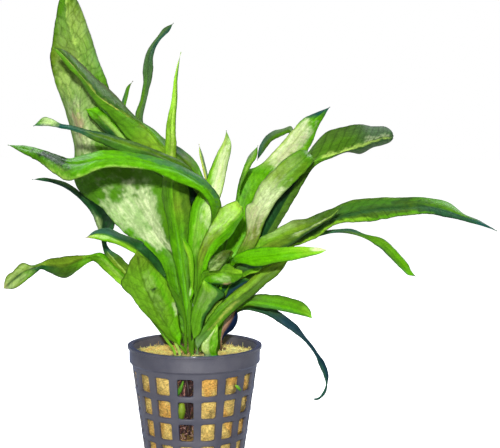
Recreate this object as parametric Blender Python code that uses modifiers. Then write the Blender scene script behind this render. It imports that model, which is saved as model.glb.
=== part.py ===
"""A java fern in a net pot: pot, rock wool, rhizome, roots, three young shoots and thirty-seven leaves, each its own solid.

The tables below are in millimetres and in the units of the front-view drawing, 500 wide by 448 high, seen from a viewpoint in front of the pot. A leaf is a row of stations from its foot on the rhizome to its tip:
    (x, d)                                     the foot, on the crown
    (u, v, d)                                  a point of the stalk
    (u, v, d, ua, va, ub, vb[, da, db])        the midrib and the two margins of the blade
u and v are drawing units, and d is millimetres in front of the pot's axis. Side a is on the left of the way the leaf grows, side b on its right, and da and db are how far each margin stands in front of the midrib.
"""

import math

import bmesh
import bpy
from mathutils import Matrix, Vector

MM = 0.001

# ---- pot
POT_HEIGHT = 51.5
LIP_RADIUS = 25.1
BAND_RADIUS = 23.95  # middle of the wall, as for every pot radius below
BAND_FOOT_Z = 45.4
CHAMFER_FOOT_Z = 44.3
WALL = 1.0
FOOT_RADIUS = 16.71
WALL_SLOPE = 0.14  # millimetres of radius per millimetre of height
ROW_TOP_Z = 42.95
ROW_PITCH = 8.378
WINDOW_HEIGHT = 6.55
ROWS = 5
SECTORS = 48  # two for a window, one for a bar
FIRST_EDGE_DEG = 6.0  # a window edge, measured from the front towards +X

# ---- what fills it
GAP = 0.35
WOOL_TOP_Z = 48.8
WOOL_TILT = 0.065
CROWN_Z = 50.8
STALK_HALF = 0.55
TIP_HALF = 0.18
STALK_THICK = 0.9
BLADE_THICK = 0.42

# ---- the drawing's viewpoint
EYE = (-2.0, -400.0, 125.94)
YAW, PITCH, ROLL, REACH = 0.056, 0.073, 0.006, 1077.0
CROWN_U, CROWN_V = 195.0, 345.0
FAN, FAN_MIDDLE, FAN_START, FAN_LENGTH = 0.45, 3.0, 20.0, 130.0

LEAVES = {
    "leaf_tall": ("leaf_mature", [
        (-1.8, -4.6),
        (187.5, 330, -5, 184.5, 331, 190.2, 329.5, 0, 0),
        (181.5, 303, -5, 175, 304.5, 187, 301, -1, 1),
        (177.5, 282, -5, 167, 284.5, 184.5, 280, -2, 2),
        (172.5, 258, -5.5, 157, 265, 178.5, 255, -2, 3),
        (160, 241, -6, 146, 251, 168.5, 235, -2, 3),
        (143.5, 216, -7, 124, 232.5, 164.5, 201, -3, 1),
        (126, 193, -8.5, 104, 212, 150, 174, -3, -1),
        (98, 167, -10, 75, 183, 128, 146, -6, -2),
        (86, 141, -11.5, 73.3, 145.3, 120, 127, -8, -2),
        (80, 114, -13, 64.5, 110, 113, 108, -7, -1),
        (80, 85, -15, 55.5, 83, 108, 84, -3, 0),
        (79, 57, -17, 50, 58, 98, 58, -1, -3),
        (71.5, 36, -18.5, 52.5, 40, 90.5, 34, 0, -3),
        (67.5, 18, -20, 55.5, 20, 84, 16, 0, -3),
        (66, 5, -21, 58.5, 2, 79, 3, 0, -2),
        (66, -8, -22, 62, -9, 72.5, -8, 0, -1),
        (66.5, -20, -23),
    ]),
    "leaf_arching": ("leaf_bright", [
        (1.4, 3.4), (203, 300, 5), (209, 255, 9),
        (214, 226, 12.5, 211, 225, 217.5, 227, 0, 0),
        (215.5, 205, 16, 209.5, 206, 221.5, 204, 0, 0),
        (203.5, 187, 20, 198, 191, 208.5, 182.5, 1, -1),
        (185, 175, 22.5, 177, 182, 190, 170, 2, -2),
        (158, 165.5, 25, 152.5, 171.5, 163, 159.5, 2, -3),
        (130, 159.5, 26.5, 128, 167.5, 131, 152.5, 2, -3),
        (100, 160, 26.5, 99, 169, 101, 151, 2, -4),
        (80, 164, 24.5, 79, 177.5, 79, 156.3, 3, -4),
        (66, 163.5, 21, 66, 180.5, 68, 158.3, 3, -3),
        (56, 157.5, 17, 52, 172, 61, 155.8, 2, -1),
        (41, 152.5, 10.5, 38, 161.5, 45, 151, 1, -1),
        (24, 148.5, 3.5, 21, 152.5, 27, 145.8, 0, 0),
        (8, 145, -4),
    ]),
    "leaf_folded": ("leaf_mature", [
        (2.4, -3), (206, 300, -4), (211, 250, -4),
        (207.5, 215, -2.5, 200, 218.5, 211.5, 212.5, 0, 0),
        (203.5, 197, -1, 192.5, 206.5, 209.5, 193, 0, 0),
        (197, 180, 0.5, 185.5, 197.5, 203.5, 177, -1, -4),
        (189, 167, 2, 177, 187, 195.5, 162, -1, -6),
        (176, 155.5, 4, 165, 168, 182, 149, -1, -6),
        (160, 145, 5.5, 150, 157, 166.5, 140, -1, -5),
        (149, 131.5, 6.2, 138, 147, 153, 128.5, -1, -4),
        (137, 121.5, 6.8, 126, 137, 140.5, 121, -1, -4),
        (120, 110, 7.6, 111, 118, 124, 103.5, -1, -5),
        (97, 94, 9, 92.5, 98, 103, 83.5, -1, -7),
        (85, 79.5, 10, 81.5, 82, 92.5, 73.5, -1, -6),
        (75, 68, 10.6, 71.5, 71, 80, 61.5, 0, -4),
        (66, 58, 11.1, 63, 60.5, 69.5, 53.5, 0, -3),
        (58.5, 51, 11.6, 57, 53, 60.5, 48.6, 0, -1),
        (53, 47.5, 12),
    ]),
    "leaf_strap": ("leaf_mature", [
        (0.8, -0.2), (206, 262, 1.5), (210.5, 220, 3),
        (203, 196, 5, 200, 198.5, 206, 193.5, 0, 0),
        (185, 171, 10, 181, 175.5, 189, 167, 1, -1),
        (150, 152.5, 16, 147.5, 158, 152.5, 148.5, 1, -2),
        (130, 146.5, 18, 128, 154, 132, 140.8, 1, -2),
        (113, 140.5, 20, 110, 147.5, 116, 136.3, 1, -2),
        (98, 135.5, 22.5, 95, 140.5, 100, 132, 1, -2),
        (85, 132, 25, 84, 135, 86, 130, 0, -3),
        (72, 128.5, 28, 71, 130, 73, 126.5, 0, -3),
        (60, 126, 31, 59, 128, 61.5, 124.3, 0, -2),
        (50, 122.5, 34, 48, 126, 51.5, 118.5, 0, -1),
        (40, 122.5, 36.5, 40.5, 126, 42, 118, 0, 0),
        (33.5, 126, 38),
    ]),
    "leaf_tongue": ("leaf_mature", [
        (-0.2, -2.4),
        (190.8, 300, -2.6, 188.6, 300, 192.8, 300, 0, 0),
        (188.3, 240, -3, 184, 240, 192.6, 240, 0, 0),
        (183, 213, -3), (171, 187, -3),
        (150, 165, -2.5, 147, 168, 153, 162, 0, 0),
        (128, 146, -2, 123, 150.5, 133, 141, 0, 0),
        (113, 130, -1.5, 107, 135, 119, 125, 1, -1),
        (100, 117, -1, 94.5, 122, 106, 112, 1, -1),
        (92, 110.5, -0.5, 88, 114, 96.5, 107, 0, 0),
        (85.5, 109, 0),
    ]),
    "leaf_lance": ("leaf_pale", [
        (-1.2, 1.8),
        (190.3, 325, 1.5, 187.6, 325.5, 192.8, 324.5, 0, 0),
        (185.2, 285, 0.5, 180, 286.5, 190, 284, -1, 0),
        (179.5, 245, 0, 170.5, 246.5, 188.8, 243, -1.5, 0),
        (174.7, 215, 1, 166, 216.5, 183.8, 213, -4, 0),
        (172.3, 195, 2.5, 162, 196.5, 180, 192, -4, 0),
        (171, 170, 6, 163.5, 171, 177, 169, -1, 1),
        (170.7, 145, 10, 165, 145, 176.2, 145, 1, -1),
        (171.5, 120, 13, 167, 120, 175.7, 120, 1, -1),
        (174.5, 98, 15.5, 171.8, 98, 177.3, 98, 0, -1),
        (175.8, 80, 17, 173.8, 80, 177.6, 80, 0, 0),
        (178, 65, 18, 177.1, 65, 179.1, 65, 0, 0),
        (181, 52, 19),
    ]),
    "leaf_sickle": ("leaf_dark", [
        (-2.2, -7.0), (182, 300, -9.5), (166, 230, -14), (150, 170, -17),
        (140, 130, -19, 136.5, 130, 144, 130, 0, 0),
        (139, 118, -19.5, 135, 117, 143, 119, 0, 0),
        (144, 98, -20.5, 141, 97.5, 147, 98.5, -1, 0),
        (146.8, 85, -21, 143.3, 85, 150.3, 85, -1, 1),
        (148, 70, -22, 143, 70, 153, 70.5, -1, 1),
        (149.5, 55, -23, 145.6, 54, 153.4, 56.5, -1, 1),
        (153, 46.5, -23.5, 150.6, 45, 155.6, 48.3, 0, 1),
        (159, 38, -24, 157.4, 36.5, 160.8, 39.6, 0, 0),
        (167, 30, -24.5, 164.6, 27.6, 169, 31.6, 0, 0),
        (173.6, 23, -25),
    ]),
    "leaf_sliver": ("leaf_dark", [
        (-4.4, -7.4), (176, 292, -11.5), (152, 212, -17), (131, 140, -20),
        (123, 108, -21, 120.5, 108, 125.5, 108, 0, 0),
        (126, 95, -21, 124, 94.6, 128.2, 95.5, 0, 0),
        (128.5, 87, -21.5, 127.2, 86.3, 129.8, 87.8, 0, 0),
        (133, 81, -22),
    ]),
    "leaf_silver": ("leaf_pale", [
        (-0.6, 5),
        (195.6, 300, 6, 192.6, 300.5, 198.6, 299.5, 0, 0),
        (195.8, 270, 6.5, 189.8, 270.5, 202.5, 270, 0, 0),
        (199.2, 235, 7, 190.2, 234.5, 208, 236, -1, 0),
        (204.5, 208, 7.5, 192.8, 208, 215.8, 208.5, -1, 0),
        (214, 186, 7, 204.5, 184, 223.5, 188, -1, -1),
        (219, 168, 6, 210, 169, 227, 170, 0, -2),
        (223, 153, 4, 217.5, 153, 230.3, 153.5, 0, -2),
        (226.5, 141, 2, 223.7, 140.5, 231, 142, 0, -1),
        (226.3, 130.5, 0),
    ]),
    "leaf_needle": ("leaf_pale", [
        (3.7, -0.9), (207.5, 300, -0.6), (212, 240, 0), (210, 200, 1),
        (206.5, 178, 2, 204.6, 178, 208.4, 177.5, 0, 0),
        (203, 163, 2.5, 201.2, 163.5, 204.9, 162.5, 0, 0),
        (200.3, 152, 3, 199.1, 152, 201.7, 151.6, 0, 0),
        (199, 144, 3),
    ]),
    "leaf_blunt": ("leaf_bright", [
        (3, 7),
        (200.4, 300, 12.4, 197.2, 300.5, 203.4, 299.5, 0, 0),
        (201.2, 275, 15, 197, 274.5, 205.8, 276, 0, 0),
        (204.5, 257, 17, 198, 254, 210, 260, 0, 0),
        (212, 243, 19, 204.5, 236.5, 218.5, 248.5, 0, -1),
        (225, 230, 22, 214, 219, 231, 236, 0, -2),
        (235, 219, 24, 221.5, 207.5, 239.8, 222, 0, -2),
        (241, 211, 25.5, 230, 203, 243, 216, 0, -1),
        (242.3, 207.5, 26, 236.3, 200.6, 244, 211.5, 0, 0),
    ]),
    "leaf_inner": ("leaf_bright", [
        (0.6, 7.8), (192.3, 322, 9.4),
        (192, 285, 11.6, 190.5, 285.2, 193.6, 284.8, 0, 0),
        (191.6, 270, 12.8, 188.8, 270.5, 194.2, 269.5, -0.4, 0),
        (190.2, 256, 14, 187.3, 257, 193.3, 255, -0.4, 0),
        (186.5, 246, 15, 184, 247.5, 189.2, 244.5, 0, 0),
        (182, 238, 16),
    ]),
    "leaf_spear": ("leaf_mature", [
        (4.2, 2.4), (212, 300, 3.5), (225, 245, 3.5), (235.5, 205, 4),
        (242, 179, 4, 240, 178.5, 244, 179.5, 0, 0),
        (248, 165, 3, 244.8, 163.8, 251.3, 166, 0, 0),
        (253.5, 155, 2, 249.8, 154.4, 257, 156, 0, 0),
        (258, 145.5, 1),
    ]),
    "leaf_hook": ("leaf_dark", [
        (4.5, -7),
        (222, 290, -11, 218.5, 288.5, 225.5, 291.5, 0, 0),
        (247, 220, -15.5, 243, 218.5, 251, 221.5, 0, 0),
        (280, 160, -20),
        (292.5, 138, -22, 290, 137.5, 295, 138.5, 0, 0),
        (289.5, 129.5, -22, 288.5, 133, 291.5, 126.5, 0, 0),
        (282, 131.5, -21, 282, 136, 283, 128.5, 0, 0),
        (272, 136, -19, 273.5, 140, 270, 132.5, 0, 0),
        (264.5, 144, -17, 268, 145.5, 261.5, 142, 0, 0),
        (260, 153, -16, 262, 154, 258, 152, 0, 0),
        (257, 161, -15),
    ]),
    "leaf_rear": ("leaf_silver", [
        (4.6, -3.6),
        (217.5, 300, -4, 215, 298.5, 220, 301.5, 0, 0),
        (226.5, 262, -5, 219, 257.5, 233, 266, 0, 0),
        (240.5, 235, -6, 230.5, 228.5, 249.5, 239.5, 0, 0),
        (250, 209, -7, 236, 197, 260, 214, 0, -1),
        (261, 186, -8, 242, 174, 275, 196, 0, -2),
        (276, 165, -10, 261, 164, 291, 173, 0, -2),
        (291, 147, -12, 276.5, 148.5, 304, 157, 0, -2),
        (303, 132, -14, 291.5, 131, 312.5, 142, 0, -2),
        (314, 120, -16, 303, 118.8, 318.5, 127, 0, -1),
        (323, 112, -18, 316.5, 112.2, 324.5, 116, 0, 0),
        (330, 107, -20),
    ]),
    "leaf_front": ("leaf_silver", [
        (5.4, 4.6), (222, 300, 5.5),
        (238.8, 260, 6.5, 234.2, 257.8, 243, 262, 0, 0),
        (251.8, 235, 8, 246.3, 230.5, 259, 239, 0, 0),
        (257, 218, 9.5, 245.5, 208, 266, 220, -1, 0),
        (264, 204, 11, 252.5, 200.5, 275, 204, -1, 0),
        (273, 190, 13, 259.5, 184.5, 284, 193, -1, 0),
        (285, 176, 15, 273.5, 169.5, 296, 181, -1, 0),
        (297, 165, 15.5, 285.5, 158.5, 306, 171, -1, -1),
        (306, 157, 14.5, 297, 150.5, 312.5, 163, -1, -1),
        (310, 153.5, 12.5, 304, 149, 313.5, 159, 0, 0),
    ]),
    "leaf_curled": ("leaf_dark", [
        (5.6, -0.6), (228, 300, 0),
        (249.5, 262, 1, 246.8, 260.5, 252, 263.5, 0, 0),
        (267.5, 233, 2, 262.8, 230.5, 272, 236, 0, 0),
        (283.5, 205, 3, 278, 202, 289, 208.5, 0, 0),
        (297.5, 181.5, 4, 291.8, 177.5, 302.8, 185, 0, 0),
        (306.5, 168.5, 4.6, 302, 163.8, 310.2, 172, 0, 0),
        (316, 160, 5, 312, 147, 318, 164.5, -3, -1),
        (331, 155, 4.6, 326, 132.5, 332, 158, -4, -1),
        (346, 150, 3.6, 343, 127, 347, 152.3, -4, -3),
        (360, 145.5, 2, 359, 124.2, 361, 154, -3, -5),
        (372, 141, 0, 372, 126.2, 372, 148, -3, -5),
        (384, 138, -3, 383.5, 126.3, 383, 145, -2, -4),
        (390.5, 137, -5, 389.8, 129, 390.8, 141.8, -1, -2),
        (393.6, 136, -7),
    ]),
    "leaf_crease": ("leaf_mature", [
        (6.6, 2.0), (226, 305, 2.8),
        (243, 270, 4, 241, 268.5, 245.5, 272, 0, 0),
        (262, 247, 6, 255, 240.5, 268, 254, -1, 0),
        (281, 237.5, 8, 271, 232, 288.5, 246.5, -3, -1),
        (301, 230, 10, 291.5, 220.8, 305.5, 235, -4, -1),
        (318, 222, 12, 311.5, 217.3, 321, 225, -3, -1),
        (330.5, 214.8, 13, 328, 209.6, 332.5, 217.3, -1, 0),
        (340.5, 208.5, 13.5),
    ]),
    "leaf_long": ("leaf_mature", [
        (7.6, -1.2), (222, 318, -2),
        (237, 287, -3, 231.5, 283, 241, 290, 0, 0),
        (262, 262, -3.5, 256, 254, 267.5, 267, -1, 0),
        (287, 243.5, -2.5, 281, 233, 291, 248.5, -2, 0),
        (312, 231.5, -0.5, 306, 219, 315, 238.5, -3, 0),
        (335, 218.5, 2, 331, 208.5, 338, 224, -4, 0),
        (355, 212, 4, 352, 200.3, 357, 222.3, -5, 0),
        (378, 208.5, 6, 377, 197.5, 380, 220, -5, 0),
        (400, 207, 8, 400, 197, 399, 216.7, -5, 0),
        (426, 206, 10, 426, 197.6, 426, 214, -5, 0),
        (446, 210.5, 11, 448, 202.5, 444, 217, -4, 0),
        (463, 217, 12, 464, 214.8, 460, 220.3, -2, 0),
        (480, 222.8, 12.5, 480.5, 221.3, 479, 225, -1, 0),
        (497, 231, 13),
    ]),
    "leaf_droop": ("leaf_bright", [
        (6.8, -6.2), (236, 292, -7), (270, 256, -9),
        (305, 238.5, -9, 304, 236, 306, 241, 0, 0),
        (335, 231, -8, 335, 229.3, 335.5, 233, 0, 0),
        (350, 231.3, -7, 352, 229, 349, 233.8, 0, 0),
        (363, 236, -6, 366, 234.2, 360.5, 236.8, 0, 0),
        (376, 240.5, -4, 381, 237.8, 372, 242.5, 0, 0),
        (388, 249, -2, 393, 247, 383.5, 251.3, 0, 0),
        (397, 259, 0, 401.5, 256.5, 391.8, 259.7, 0, 0),
        (405, 268, 2, 409, 265.8, 401, 268.3, 0, 0),
        (411, 274, 3, 412.7, 272.5, 408.5, 275.2, 0, 0),
        (416.5, 276.5, 4),
    ]),
    "leaf_green": ("leaf_bright", [
        (5.0, 10.2), (212.5, 320, 9.9), (220, 290, 11.3),
        (227, 271, 13.4, 225.5, 270, 228.5, 271.8, 0, 0),
        (232, 264.5, 15, 230.5, 263, 233.5, 266, 0, 0),
        (238, 259.5, 20.5, 236, 254.5, 240.5, 263, 0, 1),
        (255, 256.5, 24, 254, 248, 256.5, 266.5, 0, 2),
        (275, 254.5, 26.5, 275, 247, 276, 263, 0, 2),
        (295, 252.5, 28.5, 295, 246.3, 295, 260, 0, 2),
        (312, 251, 30, 312, 247, 312, 256, 0, 1),
        (322, 250.2, 31, 322, 248.3, 322, 252.8, 0, 0),
        (327.5, 250, 31.5),
    ]),
    "leaf_under": ("leaf_mature", [
        (7.8, 9.4), (216.8, 320, 8.9), (226, 292, 10.6),
        (238, 275.5, 13, 236, 271, 239, 279.5, 0, 0),
        (250, 269.3, 15, 248.5, 265, 250.5, 274, 0, 0),
        (258, 267, 16, 257, 264, 259.5, 271.3, 0, 0),
        (262.5, 266, 16.5),
    ]),
    "leaf_ragged": ("leaf_bright", [
        (2.0, 9.6), (201.2, 300, 13.5),
        (206, 277, 16.3, 203.5, 271, 207.5, 281.5, 0, 0),
        (215, 274, 18.8, 212.5, 267.5, 216, 284.5, 0, 0),
        (226, 272.5, 19.5, 227, 262.5, 227, 285, 0, 0),
        (235, 274, 17.6, 234.5, 268, 236, 282, -0.8, 0),
        (242.5, 273.5, 15.8, 242, 270.5, 243, 276.5, 0, 0),
    ]),
    "leaf_young": ("leaf_pale", [
        (3.6, 4.7), (211, 315, 6), (220, 285, 7), (228.5, 263, 8.5),
        (231, 251.5, 12, 229, 251, 233.5, 252.5, 0, 0),
        (226, 254.5, 18, 229, 258.5, 222.5, 250.5, 0, 0),
        (218, 261, 22.5, 222.5, 265.8, 213, 256.8, 0, 0),
        (212, 267.3, 23.8, 216.8, 271, 207.8, 263.8, 0, 0),
        (208.5, 271, 24.2),
    ]),
    "leaf_lower": ("leaf_silver", [
        (-1, 14.2), (192.5, 342, 15.3),
        (195.4, 333, 15.8, 191.8, 332, 199.6, 334.2, 0, 0),
        (197.4, 322, 16.3, 192, 320.5, 203, 324.5, -0.4, -0.2),
        (201, 310, 17.2, 193.6, 307, 207.5, 313.5, -0.4, -0.4),
        (206, 299.5, 18, 196.8, 296, 216, 302.5, 0, -0.6),
        (208, 290, 18.4, 200, 287, 224.5, 293.5, 0, -1.2),
        (204, 279, 18.6),
    ]),
    "leaf_shade": ("leaf_dark", [
        (5, 8), (205.5, 313, 8.2),
        (221.5, 296, 8.5, 216.5, 291.5, 225.5, 300.5, 0, 0),
        (236, 286.5, 9, 231.5, 280, 240, 293.5, 0, 0),
        (246, 281, 9.5, 243.5, 277.5, 249, 285.5, 0, 0),
        (251, 279.5, 10),
    ]),
    "leaf_olive": ("leaf_mature", [
        (7.0, 11.8),
        (207, 328, 11.8, 205, 325.5, 209, 330, 0, 0),
        (212, 316, 11.9, 206, 311.5, 216, 319, 0, 0),
        (218, 306, 12, 213, 302.5, 221.5, 308.5, 0, 0),
        (222.5, 300, 12.1),
    ]),
    "leaf_yellow": ("leaf_pale", [
        (0.8, 13.8),
        (198.5, 342, 13.7, 194.6, 340.5, 202.6, 343.5, 0, 0),
        (210, 327.5, 13.5, 204.8, 324, 215.2, 331.5, 0, 0),
        (222, 313, 13.6, 216.5, 307.5, 227, 318, 0, 0),
        (235.5, 300.5, 13, 229.8, 294.5, 240.5, 306, -1, 0),
        (250, 289, 12.7, 245, 283, 254.5, 295, -1, 0),
        (265, 276, 12.4, 259.5, 270.5, 269.8, 281.5, -1, 0),
        (278, 267, 12.2, 273.5, 263.2, 281.5, 271, 0, 0),
        (288.5, 260.5, 12),
    ]),
    "leaf_right_low": ("leaf_bright", [
        (8.6, 3.4), (223, 320, 4.8),
        (236, 304, 5.8, 234.5, 301.5, 238, 306.5, 0, 0),
        (246, 301, 6.5, 245.5, 297, 246.5, 305.5, 0, 0),
        (262, 301.3, 7.5, 262, 293.8, 262, 308, -1, 0),
        (277, 303.3, 8.5, 277.5, 295, 276, 310, -1, 0),
        (290, 306.3, 9.5, 291, 298, 289, 312.5, -1, 0),
        (300, 309.8, 10.5, 303, 302.3, 299, 315, 0, 0),
        (308, 313.8, 11.5, 310.6, 310.5, 306.5, 316.8, 0, 0),
        (312.5, 319, 12),
    ]),
    "leaf_trailing": ("leaf_dark", [
        (9.2, -3.4), (226, 324, -2.5),
        (243, 308.5, -2, 242.3, 306, 244, 310.5, 0, 0),
        (258, 308, -1, 259, 304, 257, 312, 0, 0),
        (272, 313, 0, 274.5, 308.5, 270, 317, 0, 0),
        (284, 321.2, 1, 287, 317, 281.5, 324.5, 0, 0),
        (296, 330, 1.5, 298.5, 326.5, 293.5, 332.5, 0, 0),
        (304, 338, 2, 305.5, 336.4, 302.3, 339.3, 0, 0),
        (311, 346, 2, 312.5, 344.9, 309.5, 347.2, 0, 0),
        (316.5, 354, 2, 318, 353, 315, 355, 0, 0),
        (322, 364, 1.5, 325, 363, 318.8, 365, 0, 0),
        (326, 375, 1, 328.5, 374.3, 323.5, 375.7, 0, 0),
        (326.6, 385, 0, 328.8, 385, 324.2, 385, 0, 0),
        (324, 393, -1, 326.4, 394.5, 321.5, 391.5, 0, 0),
        (318.5, 398.5, -2, 319.5, 400.4, 317.4, 396.8, 0, 0),
        (311.5, 399, -4),
    ]),
    "leaf_dry": ("leaf_dry", [
        (9.6, 1.4),
        (222.5, 335.5, 2, 220, 333.5, 225.5, 337, 0, -1),
        (228.5, 325.5, 2.5, 225, 323.5, 235.5, 328.5, 0, -3),
        (233.5, 316.5, 2.5, 230, 314, 239, 318, 0, -3),
        (236.5, 309, 2.5),
    ]),
    "leaf_edge": ("leaf_dark", [
        (-5.6, 13.4), (175.5, 343, 10), (172, 328, 7), (160, 305, 2),
        (141, 287, -3, 138.5, 289, 143.5, 285, 0, 0),
        (126, 272, -6, 121, 274.5, 131, 268, 0, 0),
        (115, 260.5, -8, 109, 263, 121.5, 257.5, 0, 0),
        (106.5, 250, -9, 103.5, 251.5, 109.5, 248.5, 0, 0),
        (103, 238, -10, 100.8, 238.3, 105.2, 237.5, 0, 0),
        (100.5, 224, -11, 96.8, 226, 105.5, 221, -1, 0),
        (93.5, 209.5, -12.5, 90.5, 212, 97.5, 206, -1, 0),
        (81, 197, -15, 79, 199, 83.5, 194.5, -1, 0),
        (66, 185.5, -18, 65, 188, 67.5, 183, -1, 0),
        (52, 180.8, -21, 51.6, 182.8, 52.6, 178.8, 0, 0),
        (41, 179.2, -23.5, 40.9, 180.8, 41.3, 177.6, 0, 0),
        (32, 179.5, -25.5),
    ]),
    "leaf_small_left": ("leaf_bright", [
        (-3.4, -0.6), (183, 315, 1), (167, 287, 3.5),
        (151, 262.5, 6, 148.8, 264, 153.4, 260.7, 0, 0),
        (140, 252.5, 7.5, 137.6, 255, 141.8, 249.6, 0, 0),
        (130, 246.3, 8.5, 128, 250.3, 132.5, 243.5, 0, -2),
        (118, 239.8, 9.5, 114.5, 243.5, 120.5, 236.2, 0, -3),
        (106, 235, 10.5, 104, 241, 107.5, 230.3, 0, -3),
        (95, 234.5, 11, 94, 238.8, 96, 230, 0, -2),
        (85.5, 237.8, 11.5),
    ]),
    "leaf_twisted": ("leaf_mature", [
        (-7.4, 12.6), (168.5, 342.5, 10.3), (162, 333, 9), (145, 309, 8),
        (130, 288, 7.5, 127, 290.5, 133.5, 285.5, 0, 0),
        (118, 275.8, 8, 114, 279.3, 122, 272, 0, 0),
        (107, 265, 9.5, 102.5, 269, 111, 261.5, 0, 0),
        (98, 257.3, 11, 94.3, 261.7, 101.5, 252.8, 0, 0),
        (87.5, 257.3, 12.5, 88, 263, 88.5, 254.7, 1, 0),
        (75, 262.5, 14.5, 74, 274, 74.5, 255.5, -3, 0),
        (62, 266.5, 16.5, 63, 278.5, 60, 257.2, -3, 0),
        (50, 265.5, 18, 50, 273, 48, 259.2, -1, 1),
        (41, 266, 19, 40.8, 269.3, 41, 262.6, 1, -1),
        (35.5, 267.8, 19.7, 38.3, 271, 33, 265.2, 1, -1),
        (26, 270.8, 20, 31.5, 277, 22.5, 262.9, 0, 0),
        (17, 277, 20.5, 21.5, 284, 13, 270.6, 0, 0),
        (9, 283.8, 21, 13, 289.2, 5.2, 279, 0, 0),
        (3, 289, 21),
    ]),
    "leaf_left_front": ("leaf_bright", [
        (-3.4, 12.0), (181.5, 347, 12.8),
        (174.5, 339, 13.5, 169.5, 340, 181.5, 336, -1, 0),
        (168.5, 329.5, 14.5, 161, 330.5, 179.5, 324, -1, -1),
        (161.5, 318, 15.5, 150.5, 320, 177.8, 310.5, -1, -2),
        (154.5, 305.5, 17, 139, 307.5, 174, 298.5, -1, -2),
        (148.5, 294.5, 18.2, 130.5, 295.5, 167, 286, -2, -2),
        (143.8, 283.5, 19.4, 121, 285, 160, 276.5, -2, -2),
        (140.8, 272.5, 20.6, 125, 273.5, 150.5, 267.5, -1, -1),
        (138.6, 262, 22, 129.5, 263, 144.5, 260, 0, 0),
        (137, 250, 23.5),
    ]),
    "leaf_stub": ("leaf_silver", [
        (5.6, 16.9),
        (209, 350, 18, 201.3, 350, 216.8, 350, 0, 0),
        (209.5, 344, 18.3, 201.5, 344.5, 218.2, 343.5, 0, 0),
        (212, 335.5, 18.7, 208.5, 336.5, 218.4, 334.5, 0, 0),
        (215.5, 328, 19, 213.8, 329, 218.2, 328, 0, 0),
        (217.5, 323, 19.2),
    ]),
    "leaf_bud": ("leaf_bright", [
        (-1.8, 10.6), (189.5, 325, 13.2), (189.7, 305, 14.7),
        (191, 291.5, 15.3, 188.3, 292, 193.8, 291, 0, 0),
        (190.8, 284, 15.5),
    ]),
}

COLOURS = {
    "pot_plastic": (0.060, 0.060, 0.088, 0.45),
    "rock_wool": (0.50, 0.36, 0.10, 0.95),
    "leaf_mature": (0.100, 0.250, 0.018, 0.35),
    "leaf_bright": (0.130, 0.400, 0.010, 0.35),
    "leaf_pale": (0.270, 0.430, 0.060, 0.35),
    "leaf_silver": (0.240, 0.380, 0.120, 0.30),
    "leaf_dark": (0.012, 0.060, 0.040, 0.40),
    "leaf_dry": (0.290, 0.120, 0.060, 0.60),
    "rhizome": (0.090, 0.055, 0.025, 0.80),
    "root": (0.060, 0.018, 0.012, 0.80),
    "shoot": (0.090, 0.300, 0.010, 0.35),
}


def clear():
    for obj in list(bpy.data.objects):
        bpy.data.objects.remove(obj)


def collection(name, hidden=False):
    made = bpy.data.collections.new(name)
    bpy.context.scene.collection.children.link(made)
    made.hide_render = hidden
    return made


def material(obj, slot):
    r, g, b, rough = COLOURS[slot]
    made = bpy.data.materials.new(obj.name + "_" + slot)
    made.use_nodes = True
    shader = made.node_tree.nodes["Principled BSDF"]
    shader.inputs["Base Color"].default_value = (r, g, b, 1)
    shader.inputs["Roughness"].default_value = rough
    obj.data.materials.clear()
    obj.data.materials.append(made)


def mesh_object(name, points, faces, where):
    mesh = bpy.data.meshes.new(name)
    mesh.from_pydata([tuple(c * MM for c in p) for p in points], [], faces)
    mesh.update()
    obj = bpy.data.objects.new(name, mesh)
    where.objects.link(obj)
    return obj


def plain_mesh(obj):
    """The object with its modifiers applied, or the mesh made from its curve, as a plain mesh object."""
    bpy.context.view_layer.update()
    graph = bpy.context.evaluated_depsgraph_get()
    mesh = bpy.data.meshes.new_from_object(obj.evaluated_get(graph))
    made = bpy.data.objects.new(obj.name + "_mesh", mesh)
    made.matrix_world = obj.matrix_world
    for where in obj.users_collection:
        where.objects.link(made)
    name = obj.name
    bpy.data.objects.remove(obj)
    made.name = name
    work = bmesh.new()
    work.from_mesh(mesh)
    bmesh.ops.remove_doubles(work, verts=work.verts, dist=1e-6)
    bmesh.ops.recalc_face_normals(work, faces=work.faces)
    work.to_mesh(mesh)
    work.free()
    return made


def turned(name, profile, steps, where):
    """A profile of (radius, height) turned round the pot's axis."""
    obj = mesh_object(
        name,
        [(r, 0, z) for r, z in profile],
        [],
        where,
    )
    work = bmesh.new()
    verts = [work.verts.new((r * MM, 0, z * MM)) for r, z in profile]
    for a, b in zip(verts, verts[1:]):
        work.edges.new((a, b))
    work.to_mesh(obj.data)
    work.free()
    screw = obj.modifiers.new("turn", "SCREW")
    screw.axis = "Z"
    screw.steps = screw.render_steps = steps
    screw.use_merge_vertices = True
    screw.merge_threshold = 0.00001
    screw.use_normal_calculate = True
    return obj


def tube(name, points, radii, where, resolution=2):
    """A tapered tube along a line of points."""
    curve = bpy.data.curves.new(name, "CURVE")
    curve.dimensions = "3D"
    curve.bevel_depth = MM
    curve.bevel_resolution = resolution
    curve.use_fill_caps = True
    line = curve.splines.new("POLY")
    line.points.add(len(points) - 1)
    for at, p, r in zip(line.points, points, radii):
        at.co = (p[0] * MM, p[1] * MM, p[2] * MM, 1)
        at.radius = r
    obj = bpy.data.objects.new(name, curve)
    where.objects.link(obj)
    return plain_mesh(obj)


def boolean(obj, other, operation):
    cut = obj.modifiers.new(operation.lower(), "BOOLEAN")
    cut.operation = operation
    cut.solver = "EXACT"
    cut.object = other


# ---- the drawing's points in space

_cy, _sy = math.cos(YAW), math.sin(YAW)
_cp, _sp = math.cos(PITCH), math.sin(PITCH)
AHEAD = Vector((_sy * _cp, _cy * _cp, -_sp))
_side = Vector((_cy, -_sy, 0))
_up = _side.cross(AHEAD)
SIDE = math.cos(ROLL) * _side + math.sin(ROLL) * _up
UP = -math.sin(ROLL) * _side + math.cos(ROLL) * _up


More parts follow.
